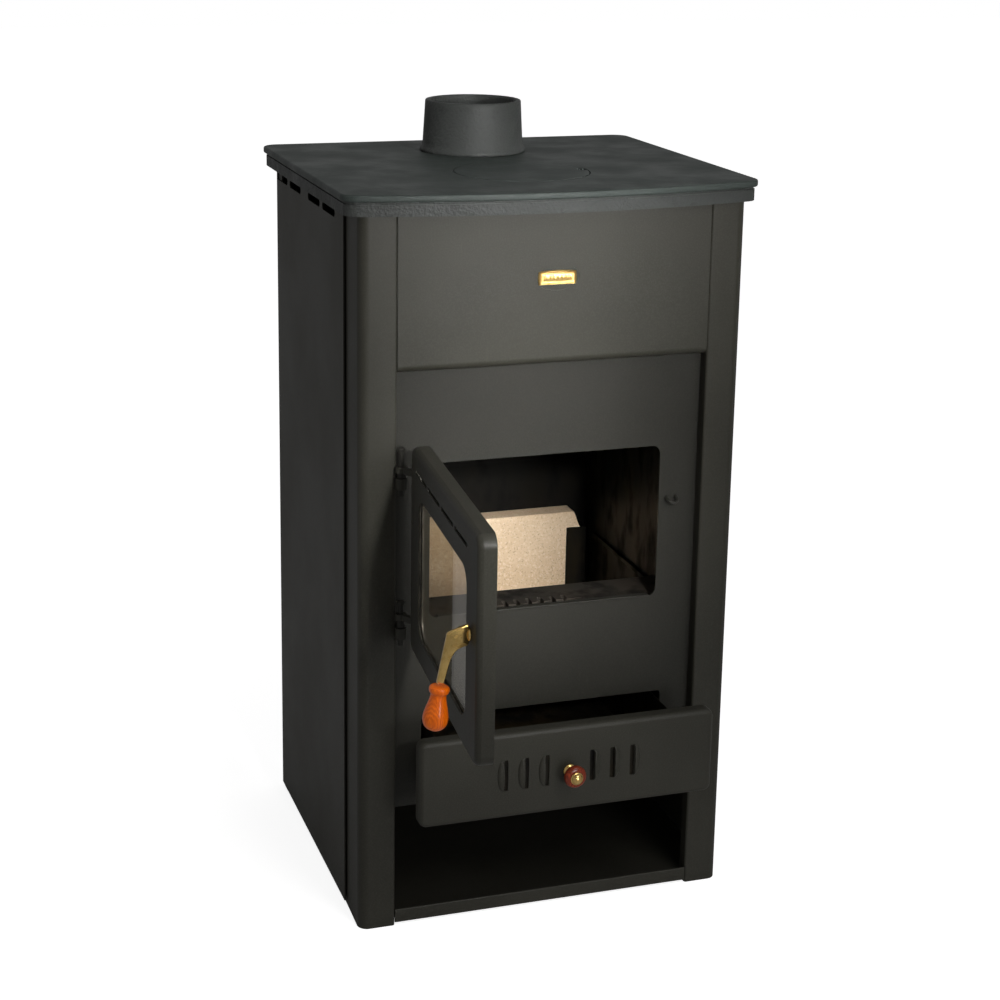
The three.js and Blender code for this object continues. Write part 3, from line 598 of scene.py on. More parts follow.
@dataclass(frozen=True)
class LacqueredWood:
    """Turned hardwood under clear gloss lacquer."""

    name: str
    pale: Colour
    deep: Colour
    scale: float

    def make(self, effects: EffectLibrary) -> bpy.types.Material:
        """Builds the material.

        Args:
            effects: the shared effects.

        Returns:
            The material.
        """
        recipe = Recipe(self.name, effects)
        wood = recipe.effect(Effect.WOOD, Scale=self.scale)
        mottle = recipe.effect(Effect.MOTTLE, Scale=70.0).outputs["Mask"]
        figure = recipe.blend(wood.outputs["Figure"], self.pale, self.deep)
        shaded = recipe.blend(recipe.between(mottle, 0.0, 0.45), figure, self.deep)
        dark = tuple(0.35 * c for c in self.deep)
        recipe.colour(recipe.blend(recipe.between(wood.outputs["Pores"], 0.0, 0.3), shaded, dark))
        recipe.roughness(recipe.between(wood.outputs["Figure"], 0.3, 0.4))
        recipe.bump(wood.outputs["Pores"], -0.012)
        recipe.set(Coat_Weight=0.5, Coat_Roughness=0.05, Specular_IOR_Level=0.1)
        return recipe.material


@dataclass(frozen=True)
class Firebrick:
    """Pressed vermiculite and chamotte brick, speckled and pitted."""

    name: str

    def make(self, effects: EffectLibrary) -> bpy.types.Material:
        """Builds the material.

        Args:
            effects: the shared effects.

        Returns:
            The material.
        """
        recipe = Recipe(self.name, effects)
        broad = recipe.effect(Effect.MOTTLE, Scale=12.0).outputs["Mask"]
        specks = recipe.effect(Effect.MOTTLE, Scale=560.0, Low=0.57, High=0.7).outputs["Mask"]
        pale = recipe.effect(Effect.MOTTLE, Scale=380.0, Low=0.5, High=0.72).outputs["Mask"]
        base = recipe.blend(broad, (0.62, 0.455, 0.29), (0.7, 0.535, 0.36))
        flecked = recipe.blend(recipe.between(pale, 0.0, 0.6), base, (0.84, 0.7, 0.53))
        recipe.colour(recipe.blend(recipe.between(specks, 0.0, 0.6), flecked, (0.3, 0.19, 0.1)))
        recipe.roughness(recipe.between(broad, 0.86, 0.97))
        first = recipe.bump(recipe.effect(Effect.GRAIN, Size=420.0, Lumps=0.9).outputs["Height"], 0.35)
        recipe.bump(specks, -0.3, first)
        recipe.set(Specular_IOR_Level=0.1)
        return recipe.material


@dataclass(frozen=True)
class StoveGlass:
    """Clear fire glass with a trace of smoke on it."""

    name: str

    def make(self, effects: EffectLibrary) -> bpy.types.Material:
        """Builds the material.

        Args:
            effects: the shared effects.

        Returns:
            The material.
        """
        recipe = Recipe(self.name, effects)
        smoke = recipe.effect(Effect.MOTTLE, Scale=18.0, Low=0.3, High=0.8).outputs["Mask"]
        recipe.colour(recipe.blend(smoke, (0.9, 0.86, 0.78), (0.82, 0.74, 0.6)))
        recipe.roughness(recipe.between(smoke, 0.0, 0.03))
        recipe.set(Transmission_Weight=1.0, IOR=1.16, Metallic=0.0)
        return recipe.material


@dataclass(frozen=True)
class WovenSeal:
    """Flat glass-fibre tape."""

    name: str

    def make(self, effects: EffectLibrary) -> bpy.types.Material:
        """Builds the material.

        Args:
            effects: the shared effects.

        Returns:
            The material.
        """
        recipe = Recipe(self.name, effects)
        weave = recipe.effect(Effect.GRAIN, Size=1100.0, Lumps=0.8).outputs["Height"]
        mottle = recipe.effect(Effect.MOTTLE, Scale=60.0).outputs["Mask"]
        recipe.colour(recipe.blend(mottle, (0.05, 0.048, 0.044), (0.12, 0.115, 0.1)))
        recipe.roughness(recipe.between(mottle, 0.85, 0.98))
        recipe.bump(weave, 0.25)
        return recipe.material


@dataclass(frozen=True)
class StudioFloor:
    """Seamless pale paper, glowing softly to the camera and lighting nothing."""

    name: str
    glow: float = 0.82

    def make(self, effects: EffectLibrary) -> bpy.types.Material:
        """Builds the material.

        Args:
            effects: the shared effects.

        Returns:
            The material.
        """
        recipe = Recipe(self.name, effects)
        soft = recipe.effect(Effect.MOTTLE, Scale=1.2).outputs["Mask"]
        recipe.colour(recipe.blend(soft, (0.68, 0.68, 0.68), (0.71, 0.71, 0.71)))
        recipe.roughness(recipe.between(soft, 0.9, 0.95))
        recipe.shader.inputs["Emission Color"].default_value = (1.0, 1.0, 1.0, 1.0)
        seen = recipe.tree.nodes.new("ShaderNodeLightPath").outputs["Is Camera Ray"]
        recipe.tree.links.new(
            recipe.between(seen, 0.0, self.glow), recipe.shader.inputs["Emission Strength"]
        )
        recipe.set(Specular_IOR_Level=0.1)
        return recipe.material


class Finish(Enum):
    """The finishes that pieces are dressed in."""

    CASING = HeatPaint("casing paint")
    # A darker tone of the casing paint, used on the plates round the fire mouth, the log store's ceiling,
    # the striker and the hinge pins.
    DARKER_PAINT = HeatPaint("darker casing paint", (0.0145, 0.014, 0.011), (0.0185, 0.0177, 0.0142), 0.46, 0.54)
    TOP_CAST = CastIron("smooth cast iron", 560.0, 0.4)
    ROUGH_CAST = CastIron("sand-cast iron", 300.0, 1.2, (0.009, 0.0098, 0.0092), (0.024, 0.0255, 0.024), 0.5)
    FIREBOX = FireboxSteel("stained firebox steel")
    SOOTED = FireboxSteel(
        "sooted firebox steel", (0.0042, 0.004, 0.0032), (0.0062, 0.0052, 0.0036), (0.0022, 0.0021, 0.0019)
    )
    BROWNED = FireboxSteel(
        "heat-browned casting", (0.03, 0.0265, 0.022), (0.045, 0.037, 0.029), (0.012, 0.011, 0.0095)
    )
    IRON = ZincSteel("dull plated steel")
    BRASS = Brass("polished brass")
    AGED_BRASS = Brass("aged brass", 0.34, 0.5)
    GRIP = LacqueredWood("orange lacquered wood", (0.95, 0.19, 0.004), (0.72, 0.11, 0.002), 230.0)
    RING = LacqueredWood("dark lacquered wood", (0.23, 0.03, 0.007), (0.10, 0.012, 0.003), 190.0)
    BRICK = Firebrick("firebrick")
    GLASS = StoveGlass("fire glass")
    SEAL = WovenSeal("woven glass seal")
    FLOOR = StudioFloor("studio floor")


class Palette:
    """Makes each finish's material once."""

    def __init__(self) -> None:
        """Builds the shared effects."""
        self.effects = EffectLibrary()
        self.made: dict[Finish, bpy.types.Material] = {}

    def __getitem__(self, finish: Finish) -> bpy.types.Material:
        """Returns the finish's material."""
        if finish not in self.made:
            self.made[finish] = finish.value.make(self.effects)
        return self.made[finish]


# ------------------------------------------------------------------ shaping helpers
Profile = list[tuple[float, float]]


def mesh_object(name: str, mesh: bpy.types.Mesh, material: bpy.types.Material) -> bpy.types.Object:
    """Puts a mesh in the scene with one material.

    Args:
        name: the piece's name.
        mesh: its mesh, in place.
        material: its finish.

    Returns:
        The new object.
    """
    mesh.materials.clear()
    mesh.materials.append(material)
    piece = bpy.data.objects.new(name, mesh)
    bpy.context.scene.collection.objects.link(piece)
    return piece


def applied(piece: bpy.types.Object) -> bpy.types.Object:
    """Turns a piece's modifiers into plain mesh.

    Args:
        piece: an object with modifiers.

    Returns:
        The same object, with no modifier left.
    """
    bpy.context.view_layer.update()
    graph = bpy.context.evaluated_depsgraph_get()
    mesh = bpy.data.meshes.new_from_object(piece.evaluated_get(graph))
    material = piece.data.materials[0] if piece.data.materials else None
    piece.modifiers.clear()
    piece.data = mesh
    if material is not None and not mesh.materials:
        mesh.materials.append(material)
    return piece


def shade_smooth(mesh: bpy.types.Mesh, angle_deg: float) -> None:
    """Shades faces smooth and keeps edges sharper than angle_deg crisp."""
    mesh.shade_smooth()
    mesh.set_sharp_from_angle(angle=math.radians(angle_deg))


def skin_of(node: bpy.types.Object, material: bpy.types.Material, bevel_mm: float) -> bpy.types.Object:
    """Makes a smooth-shaded skin over a CAD node, with softened edges.

    Args:
        node: the CAD node's object.
        material: the skin's finish.
        bevel_mm: the width of the softened edges, or 0.

    Returns:
        The skin, where the node is.
    """
    shape = bmesh.new()
    shape.from_mesh(node.data)
    bmesh.ops.remove_doubles(shape, verts=shape.verts, dist=WELD)
    bmesh.ops.dissolve_limit(
        shape, angle_limit=math.radians(FLAT_DEG), verts=shape.verts, edges=shape.edges
    )
    mesh = bpy.data.meshes.new(node.name + "_skin")
    shape.to_mesh(mesh)
    shape.free()
    shade_smooth(mesh, CRISP_DEG)
    piece = mesh_object(node.name + "_skin", mesh, material)
    if bevel_mm:
        bevel = piece.modifiers.new("softened edges", "BEVEL")
        bevel.width = bevel_mm * MM
        bevel.segments = 2
        bevel.limit_method = "ANGLE"
        bevel.angle_limit = math.radians(SOFTEN_DEG)
    weights = piece.modifiers.new("even shading", "WEIGHTED_NORMAL")
    weights.keep_sharp = True
    return applied(piece)


def lathe(name: str, profile: Profile, segments: int) -> bpy.types.Mesh:
    """Turns a profile about Z.

    Args:
        name: the mesh's name.
        profile: radius and height in metres; it starts and ends on the axis, or closes on itself.
        segments: steps round the turn.

    Returns:
        A closed mesh round the Z axis.
    """
    shape = bmesh.new()
    points = [shape.verts.new((radius, 0.0, height)) for radius, height in profile]
    edges = [shape.edges.new(pair) for pair in zip(points, points[1:])]
    if profile[0][0] > 0:
        edges.append(shape.edges.new((points[-1], points[0])))
    bmesh.ops.spin(
        shape,
        geom=points + edges,
        axis=(0, 0, 1),
        cent=(0, 0, 0),
        angle=2 * math.pi,
        steps=segments,
        use_merge=True,
    )
    bmesh.ops.remove_doubles(shape, verts=shape.verts, dist=1e-7)
    bmesh.ops.recalc_face_normals(shape, faces=shape.faces)
    mesh = bpy.data.meshes.new(name)
    shape.to_mesh(mesh)
    shape.free()
    return mesh


def rounded(profile: Profile, passes: int) -> Profile:
    """Cuts a profile's corners, keeping its ends.

    Args:
        profile: radius and height pairs.
        passes: how many times the corners are cut.

    Returns:
        The smoother profile.
    """
    for _ in range(passes):
        smoother = [profile[0]]
        for (r0, z0), (r1, z1) in zip(profile, profile[1:]):
            smoother.append((0.75 * r0 + 0.25 * r1, 0.75 * z0 + 0.25 * z1))
            smoother.append((0.25 * r0 + 0.75 * r1, 0.25 * z0 + 0.75 * z1))
        smoother.append(profile[-1])
        profile = smoother
    return profile


def slab(name: str, outline: list[Vector], thickness: float, edge: float) -> bpy.types.Mesh:
    """Extrudes a flat outline along X with rounded edges.

    Args:
        name: the mesh's name.
        outline: points in y and z, in order.
        thickness: how thick the slab is, centred on x = 0.
        edge: the radius of its edges.

    Returns:
        A closed mesh.
    """
    shape = bmesh.new()
    face = shape.faces.new([shape.verts.new((-thickness / 2, p.x, p.y)) for p in outline])
    grown = bmesh.ops.extrude_face_region(shape, geom=[face])
    moved = [v for v in grown["geom"] if isinstance(v, bmesh.types.BMVert)]
    bmesh.ops.translate(shape, verts=moved, vec=(thickness, 0, 0))
    bmesh.ops.recalc_face_normals(shape, faces=shape.faces)
    rims = [e for e in shape.edges if abs(e.verts[0].co.x - e.verts[1].co.x) < 1e-9]
    bmesh.ops.bevel(shape, geom=rims, offset=edge, segments=3, affect="EDGES", profile=0.5)
    mesh = bpy.data.meshes.new(name)
    shape.to_mesh(mesh)
    shape.free()
    return mesh


def curve_points(corners: list[tuple[float, float]], steps: int) -> list[Vector]:
    """Runs a closed smooth line through rounded corners.

    Args:
        corners: points in y and z.
        steps: how many times the corners are cut.

    Returns:
        The line's points.
    """
    points = [Vector(corner) for corner in corners]
    for _ in range(steps):
        cut = []
        for here, after in zip(points, points[1:] + points[:1]):
            cut.append(here.lerp(after, 0.2))
            cut.append(here.lerp(after, 0.8))
        points = cut
    return points


@dataclass
class Builder:
    """What every sub-assembly has: the frame, the palette and a way to put pieces in place of CAD nodes."""

    frame: dict
    palette: Palette

    def cad(self, node: str) -> bpy.types.Object:
        """Returns a CAD node's object."""
        return self.frame["nodes"][node]

    def body_of(self, node: str) -> str:
        """Returns the body that a CAD node rides on."""
        groups = self.frame["record"]["behaviour"]["bodies"]
        return next(body for body, nodes in groups.items() if node in nodes)

    def slot_of(self, node: str) -> str:
        """Returns the record's material slot of a CAD node."""
        parts = self.frame["record"]["subparts"]
        return next(part["material_slot"] for part in parts if part["node"] == node)

    def stand_in(self, piece: bpy.types.Object, *nodes: str) -> None:
        """Lets a piece take the place of CAD nodes, on their body.

        Args:
            piece: the finished piece.
            nodes: the CAD nodes that it stands for.
        """
        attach(piece, self.body_of(nodes[0]))
        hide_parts(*nodes)
        self.slot_of(nodes[0])
        LOG.info("%s stands for %s", piece.name, ", ".join(nodes))

    def cover(self, finish: Finish, bevel_mm: float, *nodes: str) -> None:
        """Puts a smooth skin over each CAD node.

        Args:
            finish: what the skins are dressed in.
            bevel_mm: how wide their softened edges are.
            nodes: the CAD nodes.
        """
        for node in nodes:
            self.stand_in(skin_of(self.cad(node), self.palette[finish], bevel_mm), node)


# ------------------------------------------------------------------ repeated hardware
@dataclass
class ScrewTree:
    """A geometry-node tree that sets a slotted pan-head screw on every point of a mesh."""

    name: str = "pan-head screws"
    rings: int = 12
    segments: int = 24

    def build(self, material: bpy.types.Material) -> bpy.types.NodeTree:
        """Builds the tree.

        Args:
            material: the screws' finish.

        Returns:
            The tree, with Head Radius, Head Height, Slot Width and Turn inputs.
        """
        tree = bpy.data.node_groups.new(self.name, "GeometryNodeTree")
        face = tree.interface
        face.new_socket(name="Points", in_out="INPUT", socket_type="NodeSocketGeometry")
        for name in ("Head Radius", "Head Height", "Slot Width"):
            face.new_socket(name=name, in_out="INPUT", socket_type="NodeSocketFloat")
        face.new_socket(name="Turn", in_out="INPUT", socket_type="NodeSocketVector")
        face.new_socket(name="Screws", in_out="OUTPUT", socket_type="NodeSocketGeometry")
        nodes, links = tree.nodes, tree.links
        entry, end = nodes.new("NodeGroupInput"), nodes.new("NodeGroupOutput")
        dome = nodes.new("GeometryNodeMeshUVSphere")
        dome.inputs["Segments"].default_value = self.segments
        dome.inputs["Rings"].default_value = self.rings
        dome.inputs["Radius"].default_value = 1.0
        size = nodes.new("ShaderNodeCombineXYZ")
        links.new(entry.outputs["Head Radius"], size.inputs["X"])
        links.new(entry.outputs["Head Radius"], size.inputs["Y"])
        links.new(entry.outputs["Head Height"], size.inputs["Z"])
        shaped = nodes.new("GeometryNodeTransform")
        links.new(dome.outputs["Mesh"], shaped.inputs["Geometry"])
        links.new(size.outputs[0], shaped.inputs["Scale"])
        slot_size = nodes.new("ShaderNodeCombineXYZ")
        length = nodes.new("ShaderNodeMath")
        length.operation = "MULTIPLY"
        length.inputs[1].default_value = 3.0
        links.new(entry.outputs["Head Radius"], length.inputs[0])
        links.new(length.outputs[0], slot_size.inputs["X"])
        links.new(entry.outputs["Slot Width"], slot_size.inputs["Y"])
        links.new(entry.outputs["Head Height"], slot_size.inputs["Z"])
        slot = nodes.new("GeometryNodeMeshCube")
        links.new(slot_size.outputs[0], slot.inputs["Size"])
        raised = nodes.new("ShaderNodeCombineXYZ")
        links.new(entry.outputs["Head Height"], raised.inputs["Z"])
        placed = nodes.new("GeometryNodeTransform")
        links.new(slot.outputs["Mesh"], placed.inputs["Geometry"])
        links.new(raised.outputs[0], placed.inputs["Translation"])
        cut = nodes.new("GeometryNodeMeshBoolean")
        cut.operation = "DIFFERENCE"
        links.new(shaped.outputs["Geometry"], cut.inputs["Mesh 1"])
        links.new(placed.outputs["Geometry"], cut.inputs["Mesh 2"])
        spread = nodes.new("GeometryNodeInstanceOnPoints")
        links.new(entry.outputs["Points"], spread.inputs["Points"])
        links.new(cut.outputs["Mesh"], spread.inputs["Instance"])
        turn = nodes.new("FunctionNodeEulerToRotation")
        links.new(entry.outputs["Turn"], turn.inputs[0])
        links.new(turn.outputs[0], spread.inputs["Rotation"])
        real = nodes.new("GeometryNodeRealizeInstances")
        links.new(spread.outputs["Instances"], real.inputs["Geometry"])
        finish = nodes.new("GeometryNodeSetMaterial")
        finish.inputs["Material"].default_value = material
        links.new(real.outputs["Geometry"], finish.inputs["Geometry"])
        links.new(finish.outputs["Geometry"], end.inputs["Screws"])
        return tree


@dataclass
class ScrewSet:
    """A group of equal screws that face one way."""

    name: str
    places: list[Vector]
    turn: tuple[float, float, float]
    radius: float = 3.6 * MM
    height: float = 1.9 * MM
    slot: float = 0.8 * MM

    def build(self, tree: bpy.types.NodeTree, material: bpy.types.Material) -> bpy.types.Object:
        """Sets the screws and turns them into one plain mesh.

        Args:
            tree: the screw tree.
            material: the screws' finish.

        Returns:
            The finished piece.
        """
        points = bpy.data.meshes.new(self.name)
        points.from_pydata([tuple(place) for place in self.places], [], [])
        piece = mesh_object(self.name, points, material)
        modifier = piece.modifiers.new("screws", "NODES")
        modifier.node_group = tree
        values = {
            "Head Radius": self.radius,
            "Head Height": self.height,
            "Slot Width": self.slot,
            "Turn": self.turn,
        }
        for item in tree.interface.items_tree:
            if item.item_type == "SOCKET" and item.in_out == "INPUT" and item.name in values:
                modifier[item.identifier] = values[item.name]
        applied(piece)
        shade_smooth(piece.data, 40.0)
        return piece


# ------------------------------------------------------------------ sub-assemblies
@dataclass
class Casing(Builder):
    """Posts, panels, tray and badge."""

    screw_inset_x: float = 27 * MM
    screw_inset_z: float = 14 * MM
    screw_rows: int = 6
    badge_columns: int = 96
    badge_rows: int = 40
    badge_rim_x: float = 3.2 * MM
    badge_rim_z: float = 2.4 * MM

    def build(self, screws: bpy.types.NodeTree) -> None:
        """Dresses the casing and adds its small parts.

        Args:
            screws: the screw tree.
        """
        sides = ("left", "right")
        self.cover(Finish.CASING, 0.0, *(f"front_post_{side}" for side in sides))
        self.cover(Finish.CASING, 0.0, *(f"side_panel_{side}" for side in sides))
        self.cover(Finish.CASING, 0.0, "upper_front_panel", "base_tray")
        self.cover(Finish.CASING, 0.3, *(f"rear_post_{side}" for side in sides))
        self.cover(Finish.CASING, 0.3, "rear_panel")
        self._rear_screws(screws)
        self._badge()

    def _rear_screws(self, screws: bpy.types.NodeTree) -> None:
        """Fixes the rear panel to the posts with two columns of screws.

        Args:
            screws: the screw tree.
        """
        low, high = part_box("rear_panel")
        first = low[2] + self.screw_inset_z
        step = (high[2] - self.screw_inset_z - first) / (self.screw_rows - 1)
        places = [
            Vector((x, high[1], first + row * step))
            for x in (low[0] + self.screw_inset_x, high[0] - self.screw_inset_x)
            for row in range(self.screw_rows)
        ]
        turn = (-math.pi / 2, 0.0, 0.0)
        piece = ScrewSet("rear_panel_screws", places, turn).build(screws, self.palette[Finish.IRON])
        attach(piece, self.body_of("rear_panel"))
        LOG.info("%s added on rear_panel", piece.name)

    def _badge(self) -> None:
        """Makes a plain plate with a raised rim, a dished field and a beaded bar."""
        low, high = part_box("badge")
        centre_x = (low[0] + high[0]) / 2
        centre_z = (low[2] + high[2]) / 2
        half_x = (high[0] - low[0]) / 2
        half_z = (high[2] - low[2]) / 2
        thick = high[1] - low[1]
        shape = bmesh.new()
        across, up = self.badge_columns, self.badge_rows
        for row in range(up + 1):
            for column in range(across + 1):
                u = 2 * column / across - 1
                v = 2 * row / up - 1
                crown = 0.82 + 0.18 * (1 - u * u)
                x = centre_x + half_x * u * (1 - 0.04 * v * v)
                z = centre_z + half_z * (v * crown if v > 0 else v)
                z -= half_z * 0.02 * (1 - v * v)
                rim = max(
                    abs(u) * half_x - (half_x - self.badge_rim_x),
                    abs(v) * half_z - (half_z - self.badge_rim_z),
                )
                height = self._badge_height(u, v, rim, thick)
                shape.verts.new((x, high[1] - height, z))
        shape.verts.ensure_lookup_table()
        wide = across + 1
        for row in range(up):
            for column in range(across):
                first = row * wide + column
                corners = (first, first + 1, first + wide + 1, first + wide)
                shape.faces.new([shape.verts[i] for i in corners])
        border = [e for e in shape.edges if e.is_boundary]
        grown = bmesh.ops.extrude_edge_only(shape, edges=border)
        for vert in grown["geom"]:
            if isinstance(vert, bmesh.types.BMVert):
                vert.co.y = high[1]
        rim_edges = [e for e in grown["geom"] if isinstance(e, bmesh.types.BMEdge)]
        back = [e for e in rim_edges if all(abs(v.co.y - high[1]) < 1e-9 for v in e.verts)]
        bmesh.ops.holes_fill(shape, edges=back, sides=0)
        bmesh.ops.recalc_face_normals(shape, faces=shape.faces)
        mesh = bpy.data.meshes.new("badge_plate")
        shape.to_mesh(mesh)
        shape.free()
        shade_smooth(mesh, 50.0)
        self.stand_in(mesh_object("badge_plate", mesh, self.palette[Finish.AGED_BRASS]), "badge")

    @staticmethod
    def _badge_height(u: float, v: float, rim: float, thick: float) -> float:
        """Gives the plate's relief.

        Args:
            u: -1 to 1 across.
            v: -1 to 1 up.
            rim: how far inside the rim's band the point is, in metres.
            thick: the plate's thickness.

        Returns:
            The height above the plate's back.
        """
        edge = min(1.0, max(0.0, rim / (1.2 * MM)))
        fall = min(1.0, max(0.0, (1 - max(abs(u), abs(v))) * 14))
        raised = 0.45 + 0.5 * edge * edge * (3 - 2 * edge)
        bead = 0.0
        if abs(v) < 0.42 and abs(u) < 0.72:
            phase = u / 0.72 * 3.5
            across_bead = 1 - abs(2 * (phase - math.floor(phase)) - 1)
            bead = 0.3 * max(0.0, 1 - (v / 0.42) ** 2) * min(1.0, 2.2 * across_bead)
        return thick * (raised + bead) * (0.35 + 0.65 * fall)


@dataclass
class CookingTop(Builder):
    """The cast top, its lid and the flue spigot."""

    lip_depth: float = 8.0 * MM
    lid_edge: float = 0.9
    spigot_socket: float = 8.0 * MM
    bore_inset: float = 12.9 * MM
    body_inset: float = 3.7 * MM
    mouth_inset: float = 6.7 * MM

    def build(self) -> None:
        """Dresses the top and turns the spigot."""
        self.cover(Finish.TOP_CAST, self.lid_edge, "hotplate_lid")
        self._plate()
        self._spigot()

    def _plate(self) -> None:
        """Covers the plate, with the rougher finish on the band below its lip."""
        piece = skin_of(self.cad("top_plate"), self.palette[Finish.TOP_CAST], 0.0)
        piece.data.materials.append(self.palette[Finish.ROUGH_CAST])
        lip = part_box("top_plate")[1][2] - self.lip_depth
        for face in piece.data.polygons:
            if face.center.z < lip:
                face.material_index = 1
        self.stand_in(piece, "top_plate")

    def _spigot(self) -> None:
        """Turns the spigot with its foot bead and rolled mouth."""
        low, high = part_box("flue_collar")
        foot = (high[0] - low[0]) / 2
        centre = ((low[0] + high[0]) / 2, (low[1] + high[1]) / 2, 0.0)
        inner = foot - self.bore_inset
        outer = foot - self.body_inset
        mouth = foot - self.mouth_inset
        base = low[2] + self.spigot_socket
        top = high[2]
        profile = [
            (inner, low[2]),
            (inner + 1.2 * MM, low[2]),
            (inner + 1.2 * MM, base + 0.1 * MM),
            (foot - 0.8 * MM, base + 0.1 * MM),
            (foot - 0.1 * MM, base + 1.2 * MM),
            (foot - 0.1 * MM, base + 2.8 * MM),
            (foot - 1.2 * MM, base + 5.2 * MM),
            (outer + 0.9 * MM, base + 7.6 * MM),
            (outer, base + 12.0 * MM),
            (mouth + 0.45 * MM, top - 7.0 * MM),
            (mouth + 0.2 * MM, top - 1.4 * MM),
            (mouth - 0.6 * MM, top - 0.3 * MM),
            (mouth - 1.8 * MM, top),
            (inner + 2.2 * MM, top),
            (inner + 0.8 * MM, top - 0.6 * MM),
            (inner, top - 2.4 * MM),
        ]
        mesh = lathe("flue_spigot_casting", profile, 128)
        mesh.transform(Matrix.Translation(centre))
        shade_smooth(mesh, 50.0)
        piece = mesh_object("flue_spigot_casting", mesh, self.palette[Finish.ROUGH_CAST])
        self.stand_in(piece, "flue_collar")


@dataclass
class Firebox(Builder):
    """Plates, grate, brick and irons behind the fire mouth; edges are in millimetres."""

    plate_edge: float = 0.4
    sheet_edge: float = 0.3
    brick_edge: float = 1.2

    def build(self) -> None:
        """Dresses everything in and round the firebox."""
        plates = ("firebox_front_plate", "log_store_ceiling", "hearth_lip")
        self.cover(Finish.DARKER_PAINT, self.plate_edge, *plates)
        self.cover(Finish.FIREBOX, self.sheet_edge, "firebox_wall_left", "firebox_wall_right")
        self.cover(Finish.SOOTED, self.sheet_edge, "firebox_wall_rear", "firebox_floor", "baffle_plate")
        for side in ("left", "right"):
            names = (f"brick_retainer_{side}", f"wall_bar_{side}", f"baffle_ledge_{side}")
            self.cover(Finish.FIREBOX, self.plate_edge, *names)
            self.cover(Finish.IRON, self.sheet_edge, f"ash_guide_{side}")
        self.cover(Finish.ROUGH_CAST, 0.0, "grate")
        self.cover(Finish.BROWNED, 0.0, "ember_guard")
        self.cover(Finish.BRICK, self.brick_edge, "firebrick_rear")
        self.cover(Finish.DARKER_PAINT, 0.0, "striker")
        for place in ("upper", "lower"):
            self.cover(Finish.CASING, 0.3, f"stove_hinge_lug_{place}")
            self.cover(Finish.DARKER_PAINT, 0.0, f"hinge_pin_{place}")


@dataclass
class Knob:
    """The drawer knob's sizes, in metres from the drawer's face."""

    stem: float = 4.2 * MM
    flange: float = 8.0 * MM

    def base(self, depth: float) -> Profile:
        """Returns the brass base's profile."""
        return [
            (0.0, 0.0),
            (self.flange * 0.95, 0.0),
            (self.flange, 0.5 * MM),
            (self.flange * 0.97, 1.4 * MM),
            (self.flange * 0.8, 2.6 * MM),
            (self.stem + 0.6 * MM, 4.2 * MM),
            (self.stem, 6.4 * MM),
            (self.stem + 0.3 * MM, 8.6 * MM),
            (6.2 * MM, depth - 0.4 * MM),
            (6.2 * MM, depth),
            (0.0, depth),
        ]

    @staticmethod
    def ring(radius: float, depth: float) -> Profile:
        """Returns the wooden ring's profile."""
        return [
            (0.0, 0.0),
            (0.6 * radius, 0.0),
            (0.85 * radius, 0.08 * depth),
            (0.99 * radius, 0.3 * depth),
            (radius, 0.5 * depth),
            (0.99 * radius, 0.7 * depth),
            (0.85 * radius, 0.92 * depth),
            (0.6 * radius, depth),
            (0.0, depth),
        ]

    @staticmethod
    def cap(radius: float, depth: float) -> Profile:
        """Returns the brass cap's profile."""
        return [
            (0.0, 0.0),
            (0.96 * radius, 0.0),
            (radius, 0.07 * depth),
            (radius, 0.16 * depth),
            (0.93 * radius, 0.24 * depth),
            (0.84 * radius, 0.28 * depth),
            (0.82 * radius, 0.4 * depth),
            (0.62 * radius, 0.74 * depth),
            (0.3 * radius, 0.95 * depth),
            (0.0, depth),
        ]


@dataclass
class AshDrawer(Builder):
    """The drawer and its knob."""

    box_edge: float = 0.3
    knob: Knob = field(default_factory=Knob)

    def build(self) -> None:
        """Dresses the drawer and turns the knob."""
        self.cover(Finish.CASING, 0.0, "ash_drawer_front")
        self.cover(Finish.FIREBOX, self.box_edge, "ash_drawer_box")
        self._turn("knob_base", self.knob.base(self._depth("knob_base")), Finish.BRASS)
        radius, depth = self._radius("knob_ring"), self._depth("knob_ring")
        self._turn("knob_ring", self.knob.ring(radius, depth), Finish.RING)
        radius, depth = self._radius("knob_cap"), self._depth("knob_cap")
        self._turn("knob_cap", self.knob.cap(radius, depth), Finish.BRASS)

    def _depth(self, node: str) -> float:
        """Returns how deep a node is, front to back."""
        low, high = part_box(node)
        return high[1] - low[1]

    def _radius(self, node: str) -> float:
        """Returns a round node's radius."""
        low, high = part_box(node)
        return (high[0] - low[0]) / 2

    def _turn(self, node: str, profile: Profile, finish: Finish) -> None:
        """Turns one piece of the knob, facing forwards.

        Args:
            node: the CAD node it stands for.
            profile: its profile, from the back.
            finish: what it is dressed in.
        """
        low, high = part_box(node)
        mesh = lathe(f"{node}_turning", rounded(profile, 2), 64)
        middle = ((low[0] + high[0]) / 2, high[1], (low[2] + high[2]) / 2)
        mesh.transform(Matrix.Translation(middle) @ Matrix.Rotation(math.pi / 2, 4, "X"))
        shade_smooth(mesh, 50.0)
        self.stand_in(mesh_object(f"{node}_turning", mesh, self.palette[finish]), node)


